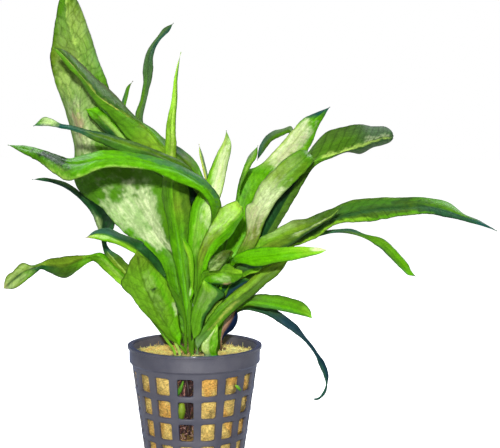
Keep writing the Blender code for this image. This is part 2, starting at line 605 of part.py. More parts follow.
def spot(u, v, d):
    """The point, in millimetres, that the drawing shows at (u, v) and that is d in front of the pot's axis."""
    ray = AHEAD + SIDE * ((u - 250) / REACH) + UP * ((224 - v) / REACH)
    t = (-d - EYE[1]) / ray.y
    return Vector(EYE) + ray * t


def placed(u, v, d):
    """As spot, with the depth opened out away from the crown, the way a clump of leaves fans."""
    far = min(1.0, max(0.0, (math.hypot(u - CROWN_U, v - CROWN_V) - FAN_START) / FAN_LENGTH))
    return spot(u, v, FAN_MIDDLE + (d - FAN_MIDDLE) * (1 + FAN * far * far * (3 - 2 * far)))


def rows_of(stations):
    """Midrib, margin a, margin b and whether it is stalk, for each station."""
    mids = []
    for s in stations:
        mids.append(Vector((s[0], -s[1], CROWN_Z)) if len(s) == 2 else placed(*s[:3]))
    rows = []
    for i, s in enumerate(stations):
        mid = mids[i]
        if len(s) >= 7:
            da, db = (s[7], s[8]) if len(s) == 9 else (0, 0)
            rows.append((mid, placed(s[3], s[4], s[2] + da), placed(s[5], s[6], s[2] + db), False))
            continue
        ahead = (mids[min(i + 1, len(mids) - 1)] - mids[max(i - 1, 0)]).normalized()
        view = (mid - Vector(EYE)).normalized()
        across = ahead.cross(view)
        across = across.normalized() if across.length > 1e-3 else Vector((1, 0, 0))
        last = i == len(stations) - 1
        half = TIP_HALF if last else STALK_HALF
        rows.append((mid, mid - across * half, mid + across * half, not last))
    return rows


def eased(rows):
    """The rows, with the stalk and the tip turned the way the blade next to them lies."""
    made = list(rows)
    last = len(rows) - 1
    for i in [last] + list(range(last - 1, -1, -1)):
        mid, a, b, stalk = rows[i]
        if not (stalk or i == last):
            continue
        near = made[i - 1] if i == last else made[i + 1]
        ahead = (rows[min(i + 1, last)][0] - rows[max(i - 1, 0)][0]).normalized()
        across = (near[2] - near[1]).normalized()
        across = across - ahead * across.dot(ahead)
        if across.length < 0.3:
            continue
        across = across.normalized() * ((b - a).length / 2)
        made[i] = (mid, mid - across, mid + across, stalk)
    return made


def row_normals(rows):
    """The directions of the thickness at the left edge, the midrib and the right edge of each row."""
    left, right = [], []
    for (m0, a0, b0, _), (m1, a1, b1, _) in zip(rows, rows[1:]):
        left.append((m1 - a0).cross(a1 - m0).normalized())
        right.append((b1 - m0).cross(m1 - b0).normalized())
    normals = []
    for i, (mid, a, b, stalk) in enumerate(rows):
        near = [k for k in (i - 1, i) if 0 <= k < len(left)]
        at_a = sum((left[k] for k in near), Vector()).normalized()
        at_b = sum((right[k] for k in near), Vector()).normalized()
        at_mid = (at_a + at_b).normalized()
        if stalk or i == len(rows) - 1:
            across = (b - a).normalized()
            at_mid = (at_mid - across * at_mid.dot(across)).normalized()
            at_a = at_b = at_mid
        normals.append((at_a, at_mid, at_b))
    return normals


def leaf(name, slot, stations, where):
    rows = eased(rows_of(stations))
    # six points to a row: left edge, midrib and right edge, in front and behind
    points, faces = [], []
    for (mid, a, b, stalk), (at_a, at_mid, at_b) in zip(rows, row_normals(rows)):
        half = (STALK_THICK if stalk else BLADE_THICK) / 2
        points += [a + at_a * half, mid + at_mid * half, b + at_b * half]
        points += [b - at_b * half, mid - at_mid * half, a - at_a * half]
    for i in range(len(rows) - 1):
        k = 6 * i
        (mid, a, b, _), (mid_1, a_1, b_1, _) = rows[i], rows[i + 1]
        # each face is split along its shorter diagonal, the same in front and behind
        fall_a = (a - mid_1).length <= (mid - a_1).length
        fall_b = (mid - b_1).length <= (b - mid_1).length
        for j, falls in ((0, fall_a), (1, fall_b), (2, True), (3, not fall_b), (4, not fall_a), (5, True)):
            n = (j + 1) % 6
            if falls:
                faces += [(k + j, k + n, k + 6 + n), (k + j, k + 6 + n, k + 6 + j)]
            else:
                faces += [(k + j, k + n, k + 6 + j), (k + n, k + 6 + n, k + 6 + j)]
    last = 6 * (len(rows) - 1)
    for k, caps in ((0, ((0, 5, 4, 1), (1, 4, 3, 2))), (last, ((0, 1, 4, 5), (1, 2, 3, 4)))):
        faces += [tuple(k + j for j in cap) for cap in caps]
    obj = mesh_object(name, points, faces, where)
    work = bmesh.new()
    work.from_mesh(obj.data)
    bmesh.ops.recalc_face_normals(work, faces=work.faces)
    if work.calc_volume(signed=True) < 0:
        bmesh.ops.reverse_faces(work, faces=work.faces)
    work.to_mesh(obj.data)
    work.free()
    material(obj, slot)
    return obj


# ---- the pot


def wall_radius(z):
    return FOOT_RADIUS + WALL_SLOPE * z


def window_rows():
    for k in range(ROWS):
        top = ROW_TOP_Z - k * ROW_PITCH
        yield top - WINDOW_HEIGHT, top


def pot(where):
    profile = [
        (LIP_RADIUS, POT_HEIGHT - WALL / 2),
        (BAND_RADIUS, POT_HEIGHT - WALL / 2),
        (BAND_RADIUS, BAND_FOOT_Z),
        (wall_radius(CHAMFER_FOOT_Z), CHAMFER_FOOT_Z),
    ]
    for low, high in window_rows():
        profile += [(wall_radius(high), high), (wall_radius(low), low)]
    profile += [(wall_radius(WALL / 2), WALL / 2), (0, WALL / 2)]
    obj = plain_mesh(turned("pot", profile, SECTORS, where))
    work = bmesh.new()
    work.from_mesh(obj.data)
    # The turned grid starts on +X, so it is turned on to bring a window edge to FIRST_EDGE_DEG.
    bmesh.ops.rotate(work, verts=work.verts, cent=(0, 0, 0), matrix=Matrix.Rotation(math.radians(FIRST_EDGE_DEG), 3, "Z"))
    gone = []
    step = 360 / SECTORS
    for face in work.faces:
        centre = face.calc_center_median() / MM
        if math.hypot(centre.x, centre.y) < 5:
            continue
        if not any(low < centre.z < high for low, high in window_rows()):
            continue
        # degrees from the front, towards +X
        at = math.degrees(math.atan2(centre.x, -centre.y))
        sector = int(math.floor((at - FIRST_EDGE_DEG) / step + 1e-6)) % 3
        if sector != 2:
            gone.append(face)
    bmesh.ops.delete(work, geom=gone, context="FACES")
    bmesh.ops.recalc_face_normals(work, faces=work.faces)
    work.to_mesh(obj.data)
    work.free()
    shell = obj.modifiers.new("wall", "SOLIDIFY")
    shell.thickness = WALL * MM
    shell.offset = 0
    shell.use_even_offset = True
    material(obj, "pot_plastic")
    return obj


# ---- rhizome, roots and wool

RHIZOME = [
    # (x, d, z, radius) along each branch
    [(-7.0, -8.6, 47.6, 1.7), (-3.0, -5.0, 47.9, 2.4), (0.5, 0.5, 47.9, 2.6), (1.5, 7.0, 47.8, 2.5), (0.5, 13.5, 47.9, 2.1), (0.2, 16.0, 47.6, 1.5)],
    [(0.5, 0.5, 47.9, 2.3), (5.0, -1.5, 47.9, 2.5), (9.0, -2.5, 47.7, 2.2), (12.0, -1.5, 47.3, 1.5)],
    [(1.5, 7.0, 47.8, 2.2), (-2.5, 10.5, 47.9, 2.3), (-6.5, 12.2, 47.8, 2.0), (-8.5, 12.4, 47.5, 1.4)],
    [(1.5, 7.0, 47.8, 2.2), (5.5, 10.0, 47.8, 2.3), (6.2, 15.0, 47.8, 2.0), (5.8, 17.6, 47.6, 1.4)],
]

ROOTS = [
    # (x, d, z, radius) along each strand; the first two points of each lie in the shared top
    [(-3.4, 18.6, 46.6, 1.1), (-3.2, 19.4, 43.5, 0.8), (-2.4, 20.3, 38.5, 0.7), (-2.6, 19.4, 33.0, 0.6), (-1.9, 18.6, 27.0, 0.55), (-2.0, 17.8, 21.5, 0.45)],
    [(-3.4, 18.6, 46.0, 1.1), (-4.2, 18.6, 42.0, 0.8), (-5.2, 17.4, 37.0, 0.7), (-5.1, 16.3, 31.0, 0.6), (-4.9, 16.4, 25.0, 0.5)],
    [(-3.4, 18.6, 45.4, 1.0), (-3.6, 17.8, 40.0, 0.8), (-3.3, 17.4, 33.0, 0.7), (-3.4, 17.0, 26.0, 0.6), (-3.2, 16.6, 20.5, 0.45)],
]


def branches(name, table, grow, where):
    """Tapered tubes joined into one body."""
    made = []
    for k, line in enumerate(table):
        made.append(
            tube(
                f"{name}_{k}",
                [(x, -d, z) for x, d, z, _ in line],
                [r + grow for *_, r in line],
                where,
            )
        )
    return made


def joined(name, pieces, where, helpers):
    body = pieces[0]
    for other in pieces[1:]:
        boolean(body, other, "UNION")
        for c in list(other.users_collection):
            c.objects.unlink(other)
        helpers.objects.link(other)
        other.hide_render = True
        other.display_type = "WIRE"
    made = plain_mesh(body)
    made.name = name
    for c in list(made.users_collection):
        c.objects.unlink(made)
    where.objects.link(made)
    return made


def wool(where, helpers):
    inner = lambda z: wall_radius(z) - WALL / 2 - GAP
    profile = [(0, WOOL_TOP_Z)]
    profile += [(r, WOOL_TOP_Z) for r in (6, 12, 17, 21)]
    profile += [(22.6, WOOL_TOP_Z), (22.6, 46.4), (inner(43.5), 43.9), (inner(30), 30), (inner(15), 15), (inner(1.4), 1.4), (0, 1.4)]
    obj = plain_mesh(turned("rock_wool", profile, 32, where))
    for point in obj.data.vertices:
        x, y, z = (c / MM for c in point.co)
        if z > 47.7:
            r = math.hypot(x, y)
            lump = 0.35 * math.sin(0.9 * x + 1.1) * math.cos(0.8 * y - 0.4)
            point.co.z = (WOOL_TOP_Z - WOOL_TILT * y + lump - 0.0006 * r * r) * MM
    grown = joined("recess_rhizome", branches("recess", RHIZOME, GAP, helpers), helpers, helpers)
    grown.hide_render = True
    grown.display_type = "WIRE"
    boolean(obj, grown, "DIFFERENCE")
    pocket = mesh_object("recess_roots", [
        (x, y, z)
        for x, y in ((-7.6, -24.5), (0.4, -25.6), (-0.6, -14.9), (-7.2, -14.1))
        for z in (18.5, 49.4)
    ], [(0, 2, 3, 1), (2, 4, 5, 3), (4, 6, 7, 5), (6, 0, 1, 7), (0, 6, 4, 2), (1, 3, 5, 7)], helpers)
    work = bmesh.new()
    work.from_mesh(pocket.data)
    bmesh.ops.recalc_face_normals(work, faces=work.faces)
    work.to_mesh(pocket.data)
    work.free()
    pocket.hide_render = True
    pocket.display_type = "WIRE"
    boolean(obj, pocket, "DIFFERENCE")
    nook = tube("recess_shoot", [(12.3, -21.5, 36.6), (12.0, -17.5, 40.2)], [2.2, 2.2], helpers, 2)
    nook.hide_render = True
    nook.display_type = "WIRE"
    boolean(obj, nook, "DIFFERENCE")
    material(obj, "rock_wool")
    return obj


def shoots(where):
    # The bulb behind the second window of the left column, and the shoot in the window above it.
    bulb = tube("shoot_bulb", [spot(180.7, 420, 17.9), spot(180.7, 416, 18.1), spot(180.8, 410, 18.3), spot(181, 405, 18.3), spot(181, 401.5, 18.1)], [0.5, 1.1, 1.25, 0.9, 0.3], where, 1)
    material(bulb, "shoot")
    sprig = tube("shoot_left", [spot(177.5, 396, 19.9), spot(179.4, 391, 20.3), spot(181.6, 386, 20.3), spot(183.2, 381, 19.9)], [0.35, 0.6, 0.5, 0.25], where, 1)
    material(sprig, "shoot")
    right = tube("shoot_right", [spot(240.5, 390.5, 17.2), spot(238, 387.5, 17.7), spot(235, 385, 17.9)], [0.3, 0.6, 0.3], where, 1)
    material(right, "shoot")


def main():
    clear()
    parts = collection("potted_java_fern")
    helpers = collection("cutters", hidden=True)
    pot(parts)
    wool(parts, helpers)
    rhizome = joined("rhizome", branches("rhizome", RHIZOME, 0, parts), parts, helpers)
    material(rhizome, "rhizome")
    roots = joined("roots", branches("roots", ROOTS, 0, parts), parts, helpers)
    material(roots, "root")
    shoots(parts)
    for name, (slot, stations) in LEAVES.items():
        leaf(name, slot, stations, parts)


main()
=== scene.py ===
import math

import bmesh
import bpy
import numpy as np
from mathutils import Matrix, Vector


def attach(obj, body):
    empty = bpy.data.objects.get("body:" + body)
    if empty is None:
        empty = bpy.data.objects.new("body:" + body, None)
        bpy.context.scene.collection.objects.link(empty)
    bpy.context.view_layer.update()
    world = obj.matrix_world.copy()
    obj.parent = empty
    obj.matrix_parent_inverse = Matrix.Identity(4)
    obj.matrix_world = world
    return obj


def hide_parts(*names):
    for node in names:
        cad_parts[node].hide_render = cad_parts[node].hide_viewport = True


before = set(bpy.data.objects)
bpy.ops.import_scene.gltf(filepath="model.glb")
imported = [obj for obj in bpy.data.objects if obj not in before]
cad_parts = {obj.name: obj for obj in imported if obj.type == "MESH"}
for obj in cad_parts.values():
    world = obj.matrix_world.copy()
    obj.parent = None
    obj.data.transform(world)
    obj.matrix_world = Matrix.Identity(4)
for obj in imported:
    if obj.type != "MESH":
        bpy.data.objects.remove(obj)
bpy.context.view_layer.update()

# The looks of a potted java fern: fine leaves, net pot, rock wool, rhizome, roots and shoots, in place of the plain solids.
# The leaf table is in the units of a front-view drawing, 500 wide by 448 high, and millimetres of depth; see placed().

MM = 0.001

# ---- the drawing's viewpoint
EYE = np.array((-2.0, -400.0, 125.94))
YAW, PITCH, ROLL, REACH = 0.056, 0.073, 0.006, 1077.0
CROWN_U, CROWN_V = 195.0, 345.0
FAN, FAN_MIDDLE, FAN_START, FAN_LENGTH = 0.45, 3.0, 20.0, 130.0
CROWN_Z = 50.8
STALK_HALF, TIP_HALF = 0.55, 0.18

LEAVES = {
    "leaf_tall": ("leaf_mature", [
        (-1.8, -4.6),
        (187.5, 330, -5, 184.5, 331, 190.2, 329.5, 0, 0),
        (181.5, 303, -5, 175, 304.5, 187, 301, -1, 1),
        (177.5, 282, -5, 167, 284.5, 184.5, 280, -2, 2),
        (172.5, 258, -5.5, 157, 265, 178.5, 255, -2, 3),
        (160, 241, -6, 146, 251, 168.5, 235, -2, 3),
        (143.5, 216, -7, 124, 232.5, 164.5, 201, -3, 1),
        (126, 193, -8.5, 104, 212, 150, 174, -3, -1),
        (98, 167, -10, 75, 183, 128, 146, -6, -2),
        (86, 141, -11.5, 73.3, 145.3, 120, 127, -8, -2),
        (80, 114, -13, 64.5, 110, 113, 108, -7, -1),
        (80, 85, -15, 55.5, 83, 108, 84, -3, 0),
        (79, 57, -17, 50, 58, 98, 58, -1, -3),
        (71.5, 36, -18.5, 52.5, 40, 90.5, 34, 0, -3),
        (67.5, 18, -20, 55.5, 20, 84, 16, 0, -3),
        (66, 5, -21, 58.5, 2, 79, 3, 0, -2),
        (66, -8, -22, 62, -9, 72.5, -8, 0, -1),
        (66.5, -20, -23),
    ]),
    "leaf_arching": ("leaf_bright", [
        (1.4, 3.4), (203, 300, 5), (209, 255, 9),
        (214, 226, 12.5, 211, 225, 217.5, 227, 0, 0),
        (215.5, 205, 16, 209.5, 206, 221.5, 204, 0, 0),
        (203.5, 187, 20, 198, 191, 208.5, 182.5, 1, -1),
        (185, 175, 22.5, 177, 182, 190, 170, 2, -2),
        (158, 165.5, 25, 152.5, 171.5, 163, 159.5, 2, -3),
        (130, 159.5, 26.5, 128, 167.5, 131, 152.5, 2, -3),
        (100, 160, 26.5, 99, 169, 101, 151, 2, -4),
        (80, 164, 24.5, 79, 177.5, 79, 156.3, 3, -4),
        (66, 163.5, 21, 66, 180.5, 68, 158.3, 3, -3),
        (56, 157.5, 17, 52, 172, 61, 155.8, 2, -1),
        (41, 152.5, 10.5, 38, 161.5, 45, 151, 1, -1),
        (24, 148.5, 3.5, 21, 152.5, 27, 145.8, 0, 0),
        (8, 145, -4),
    ]),
    "leaf_folded": ("leaf_mature", [
        (2.4, -3), (206, 300, -4), (211, 250, -4),
        (207.5, 215, -2.5, 200, 218.5, 211.5, 212.5, 0, 0),
        (203.5, 197, -1, 192.5, 206.5, 209.5, 193, 0, 0),
        (197, 180, 0.5, 185.5, 197.5, 203.5, 177, -1, -4),
        (189, 167, 2, 177, 187, 195.5, 162, -1, -6),
        (176, 155.5, 4, 165, 168, 182, 149, -1, -6),
        (160, 145, 5.5, 150, 157, 166.5, 140, -1, -5),
        (149, 131.5, 6.2, 138, 147, 153, 128.5, -1, -4),
        (137, 121.5, 6.8, 126, 137, 140.5, 121, -1, -4),
        (120, 110, 7.6, 111, 118, 124, 103.5, -1, -5),
        (97, 94, 9, 92.5, 98, 103, 83.5, -1, -7),
        (85, 79.5, 10, 81.5, 82, 92.5, 73.5, -1, -6),
        (75, 68, 10.6, 71.5, 71, 80, 61.5, 0, -4),
        (66, 58, 11.1, 63, 60.5, 69.5, 53.5, 0, -3),
        (58.5, 51, 11.6, 57, 53, 60.5, 48.6, 0, -1),
        (53, 47.5, 12),
    ]),
    "leaf_strap": ("leaf_mature", [
        (0.8, -0.2), (206, 262, 1.5), (210.5, 220, 3),
        (203, 196, 5, 200, 198.5, 206, 193.5, 0, 0),
        (185, 171, 10, 181, 175.5, 189, 167, 1, -1),
        (150, 152.5, 16, 147.5, 158, 152.5, 148.5, 1, -2),
        (130, 146.5, 18, 128, 154, 132, 140.8, 1, -2),
        (113, 140.5, 20, 110, 147.5, 116, 136.3, 1, -2),
        (98, 135.5, 22.5, 95, 140.5, 100, 132, 1, -2),
        (85, 132, 25, 84, 135, 86, 130, 0, -3),
        (72, 128.5, 28, 71, 130, 73, 126.5, 0, -3),
        (60, 126, 31, 59, 128, 61.5, 124.3, 0, -2),
        (50, 122.5, 34, 48, 126, 51.5, 118.5, 0, -1),
        (40, 122.5, 36.5, 40.5, 126, 42, 118, 0, 0),
        (33.5, 126, 38),
    ]),
    "leaf_tongue": ("leaf_mature", [
        (-0.2, -2.4),
        (190.8, 300, -2.6, 188.6, 300, 192.8, 300, 0, 0),
        (188.3, 240, -3, 184, 240, 192.6, 240, 0, 0),
        (183, 213, -3), (171, 187, -3),
        (150, 165, -2.5, 147, 168, 153, 162, 0, 0),
        (128, 146, -2, 123, 150.5, 133, 141, 0, 0),
        (113, 130, -1.5, 107, 135, 119, 125, 1, -1),
        (100, 117, -1, 94.5, 122, 106, 112, 1, -1),
        (92, 110.5, -0.5, 88, 114, 96.5, 107, 0, 0),
        (85.5, 109, 0),
    ]),
    "leaf_lance": ("leaf_pale", [
        (-1.2, 1.8),
        (190.3, 325, 1.5, 187.6, 325.5, 192.8, 324.5, 0, 0),
        (185.2, 285, 0.5, 180, 286.5, 190, 284, -1, 0),
        (179.5, 245, 0, 170.5, 246.5, 188.8, 243, -1.5, 0),
        (174.7, 215, 1, 166, 216.5, 183.8, 213, -4, 0),
        (172.3, 195, 2.5, 162, 196.5, 180, 192, -4, 0),
        (171, 170, 6, 163.5, 171, 177, 169, -1, 1),
        (170.7, 145, 10, 165, 145, 176.2, 145, 1, -1),
        (171.5, 120, 13, 167, 120, 175.7, 120, 1, -1),
        (174.5, 98, 15.5, 171.8, 98, 177.3, 98, 0, -1),
        (175.8, 80, 17, 173.8, 80, 177.6, 80, 0, 0),
        (178, 65, 18, 177.1, 65, 179.1, 65, 0, 0),
        (181, 52, 19),
    ]),
    "leaf_sickle": ("leaf_dark", [
        (-2.2, -7.0), (182, 300, -9.5), (166, 230, -14), (150, 170, -17),
        (140, 130, -19, 136.5, 130, 144, 130, 0, 0),
        (139, 118, -19.5, 135, 117, 143, 119, 0, 0),
        (144, 98, -20.5, 141, 97.5, 147, 98.5, -1, 0),
        (146.8, 85, -21, 143.3, 85, 150.3, 85, -1, 1),
        (148, 70, -22, 143, 70, 153, 70.5, -1, 1),
        (149.5, 55, -23, 145.6, 54, 153.4, 56.5, -1, 1),
        (153, 46.5, -23.5, 150.6, 45, 155.6, 48.3, 0, 1),
        (159, 38, -24, 157.4, 36.5, 160.8, 39.6, 0, 0),
        (167, 30, -24.5, 164.6, 27.6, 169, 31.6, 0, 0),
        (173.6, 23, -25),
    ]),
    "leaf_sliver": ("leaf_dark", [
        (-4.4, -7.4), (176, 292, -11.5), (152, 212, -17), (131, 140, -20),
        (123, 108, -21, 120.5, 108, 125.5, 108, 0, 0),
        (126, 95, -21, 124, 94.6, 128.2, 95.5, 0, 0),
        (128.5, 87, -21.5, 127.2, 86.3, 129.8, 87.8, 0, 0),
        (133, 81, -22),
    ]),
    "leaf_silver": ("leaf_pale", [
        (-0.6, 5),
        (195.6, 300, 6, 192.6, 300.5, 198.6, 299.5, 0, 0),
        (195.8, 270, 6.5, 189.8, 270.5, 202.5, 270, 0, 0),
        (199.2, 235, 7, 190.2, 234.5, 208, 236, -1, 0),
        (204.5, 208, 7.5, 192.8, 208, 215.8, 208.5, -1, 0),
        (214, 186, 7, 204.5, 184, 223.5, 188, -1, -1),
        (219, 168, 6, 210, 169, 227, 170, 0, -2),
        (223, 153, 4, 217.5, 153, 230.3, 153.5, 0, -2),
        (226.5, 141, 2, 223.7, 140.5, 231, 142, 0, -1),
        (226.3, 130.5, 0),
    ]),
    "leaf_needle": ("leaf_pale", [
        (3.7, -0.9), (207.5, 300, -0.6), (212, 240, 0), (210, 200, 1),
        (206.5, 178, 2, 204.6, 178, 208.4, 177.5, 0, 0),
        (203, 163, 2.5, 201.2, 163.5, 204.9, 162.5, 0, 0),
        (200.3, 152, 3, 199.1, 152, 201.7, 151.6, 0, 0),
        (199, 144, 3),
    ]),
    "leaf_blunt": ("leaf_bright", [
        (3, 7),
        (200.4, 300, 12.4, 197.2, 300.5, 203.4, 299.5, 0, 0),
        (201.2, 275, 15, 197, 274.5, 205.8, 276, 0, 0),
        (204.5, 257, 17, 198, 254, 210, 260, 0, 0),
        (212, 243, 19, 204.5, 236.5, 218.5, 248.5, 0, -1),
        (225, 230, 22, 214, 219, 231, 236, 0, -2),
        (235, 219, 24, 221.5, 207.5, 239.8, 222, 0, -2),
        (241, 211, 25.5, 230, 203, 243, 216, 0, -1),
        (242.3, 207.5, 26, 236.3, 200.6, 244, 211.5, 0, 0),
    ]),
    "leaf_inner": ("leaf_bright", [
        (0.6, 7.8), (192.3, 322, 9.4),
        (192, 285, 11.6, 190.5, 285.2, 193.6, 284.8, 0, 0),
        (191.6, 270, 12.8, 188.8, 270.5, 194.2, 269.5, -0.4, 0),
        (190.2, 256, 14, 187.3, 257, 193.3, 255, -0.4, 0),
        (186.5, 246, 15, 184, 247.5, 189.2, 244.5, 0, 0),
        (182, 238, 16),
    ]),
    "leaf_spear": ("leaf_mature", [
        (4.2, 2.4), (212, 300, 3.5), (225, 245, 3.5), (235.5, 205, 4),
        (242, 179, 4, 240, 178.5, 244, 179.5, 0, 0),
        (248, 165, 3, 244.8, 163.8, 251.3, 166, 0, 0),
        (253.5, 155, 2, 249.8, 154.4, 257, 156, 0, 0),
        (258, 145.5, 1),
    ]),
    "leaf_hook": ("leaf_dark", [
        (4.5, -7),
        (222, 290, -11, 218.5, 288.5, 225.5, 291.5, 0, 0),
        (247, 220, -15.5, 243, 218.5, 251, 221.5, 0, 0),
        (280, 160, -20),
        (292.5, 138, -22, 290, 137.5, 295, 138.5, 0, 0),
        (289.5, 129.5, -22, 288.5, 133, 291.5, 126.5, 0, 0),
        (282, 131.5, -21, 282, 136, 283, 128.5, 0, 0),
        (272, 136, -19, 273.5, 140, 270, 132.5, 0, 0),
        (264.5, 144, -17, 268, 145.5, 261.5, 142, 0, 0),
        (260, 153, -16, 262, 154, 258, 152, 0, 0),
        (257, 161, -15),
    ]),
    "leaf_rear": ("leaf_silver", [
        (4.6, -3.6),
        (217.5, 300, -4, 215, 298.5, 220, 301.5, 0, 0),
        (226.5, 262, -5, 219, 257.5, 233, 266, 0, 0),
        (240.5, 235, -6, 230.5, 228.5, 249.5, 239.5, 0, 0),
        (250, 209, -7, 236, 197, 260, 214, 0, -1),
        (261, 186, -8, 242, 174, 275, 196, 0, -2),
        (276, 165, -10, 261, 164, 291, 173, 0, -2),
        (291, 147, -12, 276.5, 148.5, 304, 157, 0, -2),
        (303, 132, -14, 291.5, 131, 312.5, 142, 0, -2),
        (314, 120, -16, 303, 118.8, 318.5, 127, 0, -1),
        (323, 112, -18, 316.5, 112.2, 324.5, 116, 0, 0),
        (330, 107, -20),
    ]),
    "leaf_front": ("leaf_silver", [
        (5.4, 4.6), (222, 300, 5.5),
        (238.8, 260, 6.5, 234.2, 257.8, 243, 262, 0, 0),
        (251.8, 235, 8, 246.3, 230.5, 259, 239, 0, 0),
        (257, 218, 9.5, 245.5, 208, 266, 220, -1, 0),
        (264, 204, 11, 252.5, 200.5, 275, 204, -1, 0),
        (273, 190, 13, 259.5, 184.5, 284, 193, -1, 0),
        (285, 176, 15, 273.5, 169.5, 296, 181, -1, 0),
        (297, 165, 15.5, 285.5, 158.5, 306, 171, -1, -1),
        (306, 157, 14.5, 297, 150.5, 312.5, 163, -1, -1),
        (310, 153.5, 12.5, 304, 149, 313.5, 159, 0, 0),
    ]),
    "leaf_curled": ("leaf_dark", [
        (5.6, -0.6), (228, 300, 0),
        (249.5, 262, 1, 246.8, 260.5, 252, 263.5, 0, 0),
        (267.5, 233, 2, 262.8, 230.5, 272, 236, 0, 0),
        (283.5, 205, 3, 278, 202, 289, 208.5, 0, 0),
        (297.5, 181.5, 4, 291.8, 177.5, 302.8, 185, 0, 0),
        (306.5, 168.5, 4.6, 302, 163.8, 310.2, 172, 0, 0),
        (316, 160, 5, 312, 147, 318, 164.5, -3, -1),
        (331, 155, 4.6, 326, 132.5, 332, 158, -4, -1),
        (346, 150, 3.6, 343, 127, 347, 152.3, -4, -3),
        (360, 145.5, 2, 359, 124.2, 361, 154, -3, -5),
        (372, 141, 0, 372, 126.2, 372, 148, -3, -5),
        (384, 138, -3, 383.5, 126.3, 383, 145, -2, -4),
        (390.5, 137, -5, 389.8, 129, 390.8, 141.8, -1, -2),
        (393.6, 136, -7),
    ]),
    "leaf_crease": ("leaf_mature", [
        (6.6, 2.0), (226, 305, 2.8),
        (243, 270, 4, 241, 268.5, 245.5, 272, 0, 0),
        (262, 247, 6, 255, 240.5, 268, 254, -1, 0),
        (281, 237.5, 8, 271, 232, 288.5, 246.5, -3, -1),
        (301, 230, 10, 291.5, 220.8, 305.5, 235, -4, -1),
        (318, 222, 12, 311.5, 217.3, 321, 225, -3, -1),
        (330.5, 214.8, 13, 328, 209.6, 332.5, 217.3, -1, 0),
        (340.5, 208.5, 13.5),
    ]),
    "leaf_long": ("leaf_mature", [
        (7.6, -1.2), (222, 318, -2),
        (237, 287, -3, 231.5, 283, 241, 290, 0, 0),
        (262, 262, -3.5, 256, 254, 267.5, 267, -1, 0),
        (287, 243.5, -2.5, 281, 233, 291, 248.5, -2, 0),
        (312, 231.5, -0.5, 306, 219, 315, 238.5, -3, 0),
        (335, 218.5, 2, 331, 208.5, 338, 224, -4, 0),
        (355, 212, 4, 352, 200.3, 357, 222.3, -5, 0),
        (378, 208.5, 6, 377, 197.5, 380, 220, -5, 0),
        (400, 207, 8, 400, 197, 399, 216.7, -5, 0),
        (426, 206, 10, 426, 197.6, 426, 214, -5, 0),
        (446, 210.5, 11, 448, 202.5, 444, 217, -4, 0),
        (463, 217, 12, 464, 214.8, 460, 220.3, -2, 0),
        (480, 222.8, 12.5, 480.5, 221.3, 479, 225, -1, 0),
        (497, 231, 13),
    ]),
    "leaf_droop": ("leaf_bright", [
        (6.8, -6.2), (236, 292, -7), (270, 256, -9),
        (305, 238.5, -9, 304, 236, 306, 241, 0, 0),
        (335, 231, -8, 335, 229.3, 335.5, 233, 0, 0),
        (350, 231.3, -7, 352, 229, 349, 233.8, 0, 0),
        (363, 236, -6, 366, 234.2, 360.5, 236.8, 0, 0),
        (376, 240.5, -4, 381, 237.8, 372, 242.5, 0, 0),
        (388, 249, -2, 393, 247, 383.5, 251.3, 0, 0),
        (397, 259, 0, 401.5, 256.5, 391.8, 259.7, 0, 0),
        (405, 268, 2, 409, 265.8, 401, 268.3, 0, 0),
        (411, 274, 3, 412.7, 272.5, 408.5, 275.2, 0, 0),
        (416.5, 276.5, 4),
    ]),
    "leaf_green": ("leaf_bright", [
        (5.0, 10.2), (212.5, 320, 9.9), (220, 290, 11.3),
        (227, 271, 13.4, 225.5, 270, 228.5, 271.8, 0, 0),
        (232, 264.5, 15, 230.5, 263, 233.5, 266, 0, 0),
        (238, 259.5, 20.5, 236, 254.5, 240.5, 263, 0, 1),
        (255, 256.5, 24, 254, 248, 256.5, 266.5, 0, 2),
        (275, 254.5, 26.5, 275, 247, 276, 263, 0, 2),
        (295, 252.5, 28.5, 295, 246.3, 295, 260, 0, 2),
        (312, 251, 30, 312, 247, 312, 256, 0, 1),
        (322, 250.2, 31, 322, 248.3, 322, 252.8, 0, 0),
        (327.5, 250, 31.5),
    ]),
    "leaf_under": ("leaf_mature", [
        (7.8, 9.4), (216.8, 320, 8.9), (226, 292, 10.6),
        (238, 275.5, 13, 236, 271, 239, 279.5, 0, 0),
        (250, 269.3, 15, 248.5, 265, 250.5, 274, 0, 0),
        (258, 267, 16, 257, 264, 259.5, 271.3, 0, 0),
        (262.5, 266, 16.5),
    ]),
    "leaf_ragged": ("leaf_bright", [
        (2.0, 9.6), (201.2, 300, 13.5),
        (206, 277, 16.3, 203.5, 271, 207.5, 281.5, 0, 0),
        (215, 274, 18.8, 212.5, 267.5, 216, 284.5, 0, 0),
        (226, 272.5, 19.5, 227, 262.5, 227, 285, 0, 0),
        (235, 274, 17.6, 234.5, 268, 236, 282, -0.8, 0),
        (242.5, 273.5, 15.8, 242, 270.5, 243, 276.5, 0, 0),
    ]),
    "leaf_young": ("leaf_pale", [
        (3.6, 4.7), (211, 315, 6), (220, 285, 7), (228.5, 263, 8.5),
        (231, 251.5, 12, 229, 251, 233.5, 252.5, 0, 0),
        (226, 254.5, 18, 229, 258.5, 222.5, 250.5, 0, 0),
        (218, 261, 22.5, 222.5, 265.8, 213, 256.8, 0, 0),
        (212, 267.3, 23.8, 216.8, 271, 207.8, 263.8, 0, 0),
        (208.5, 271, 24.2),
    ]),
    "leaf_lower": ("leaf_silver", [
        (-1, 14.2), (192.5, 342, 15.3),
        (195.4, 333, 15.8, 191.8, 332, 199.6, 334.2, 0, 0),
        (197.4, 322, 16.3, 192, 320.5, 203, 324.5, -0.4, -0.2),
        (201, 310, 17.2, 193.6, 307, 207.5, 313.5, -0.4, -0.4),
        (206, 299.5, 18, 196.8, 296, 216, 302.5, 0, -0.6),
        (208, 290, 18.4, 200, 287, 224.5, 293.5, 0, -1.2),
        (204, 279, 18.6),
    ]),
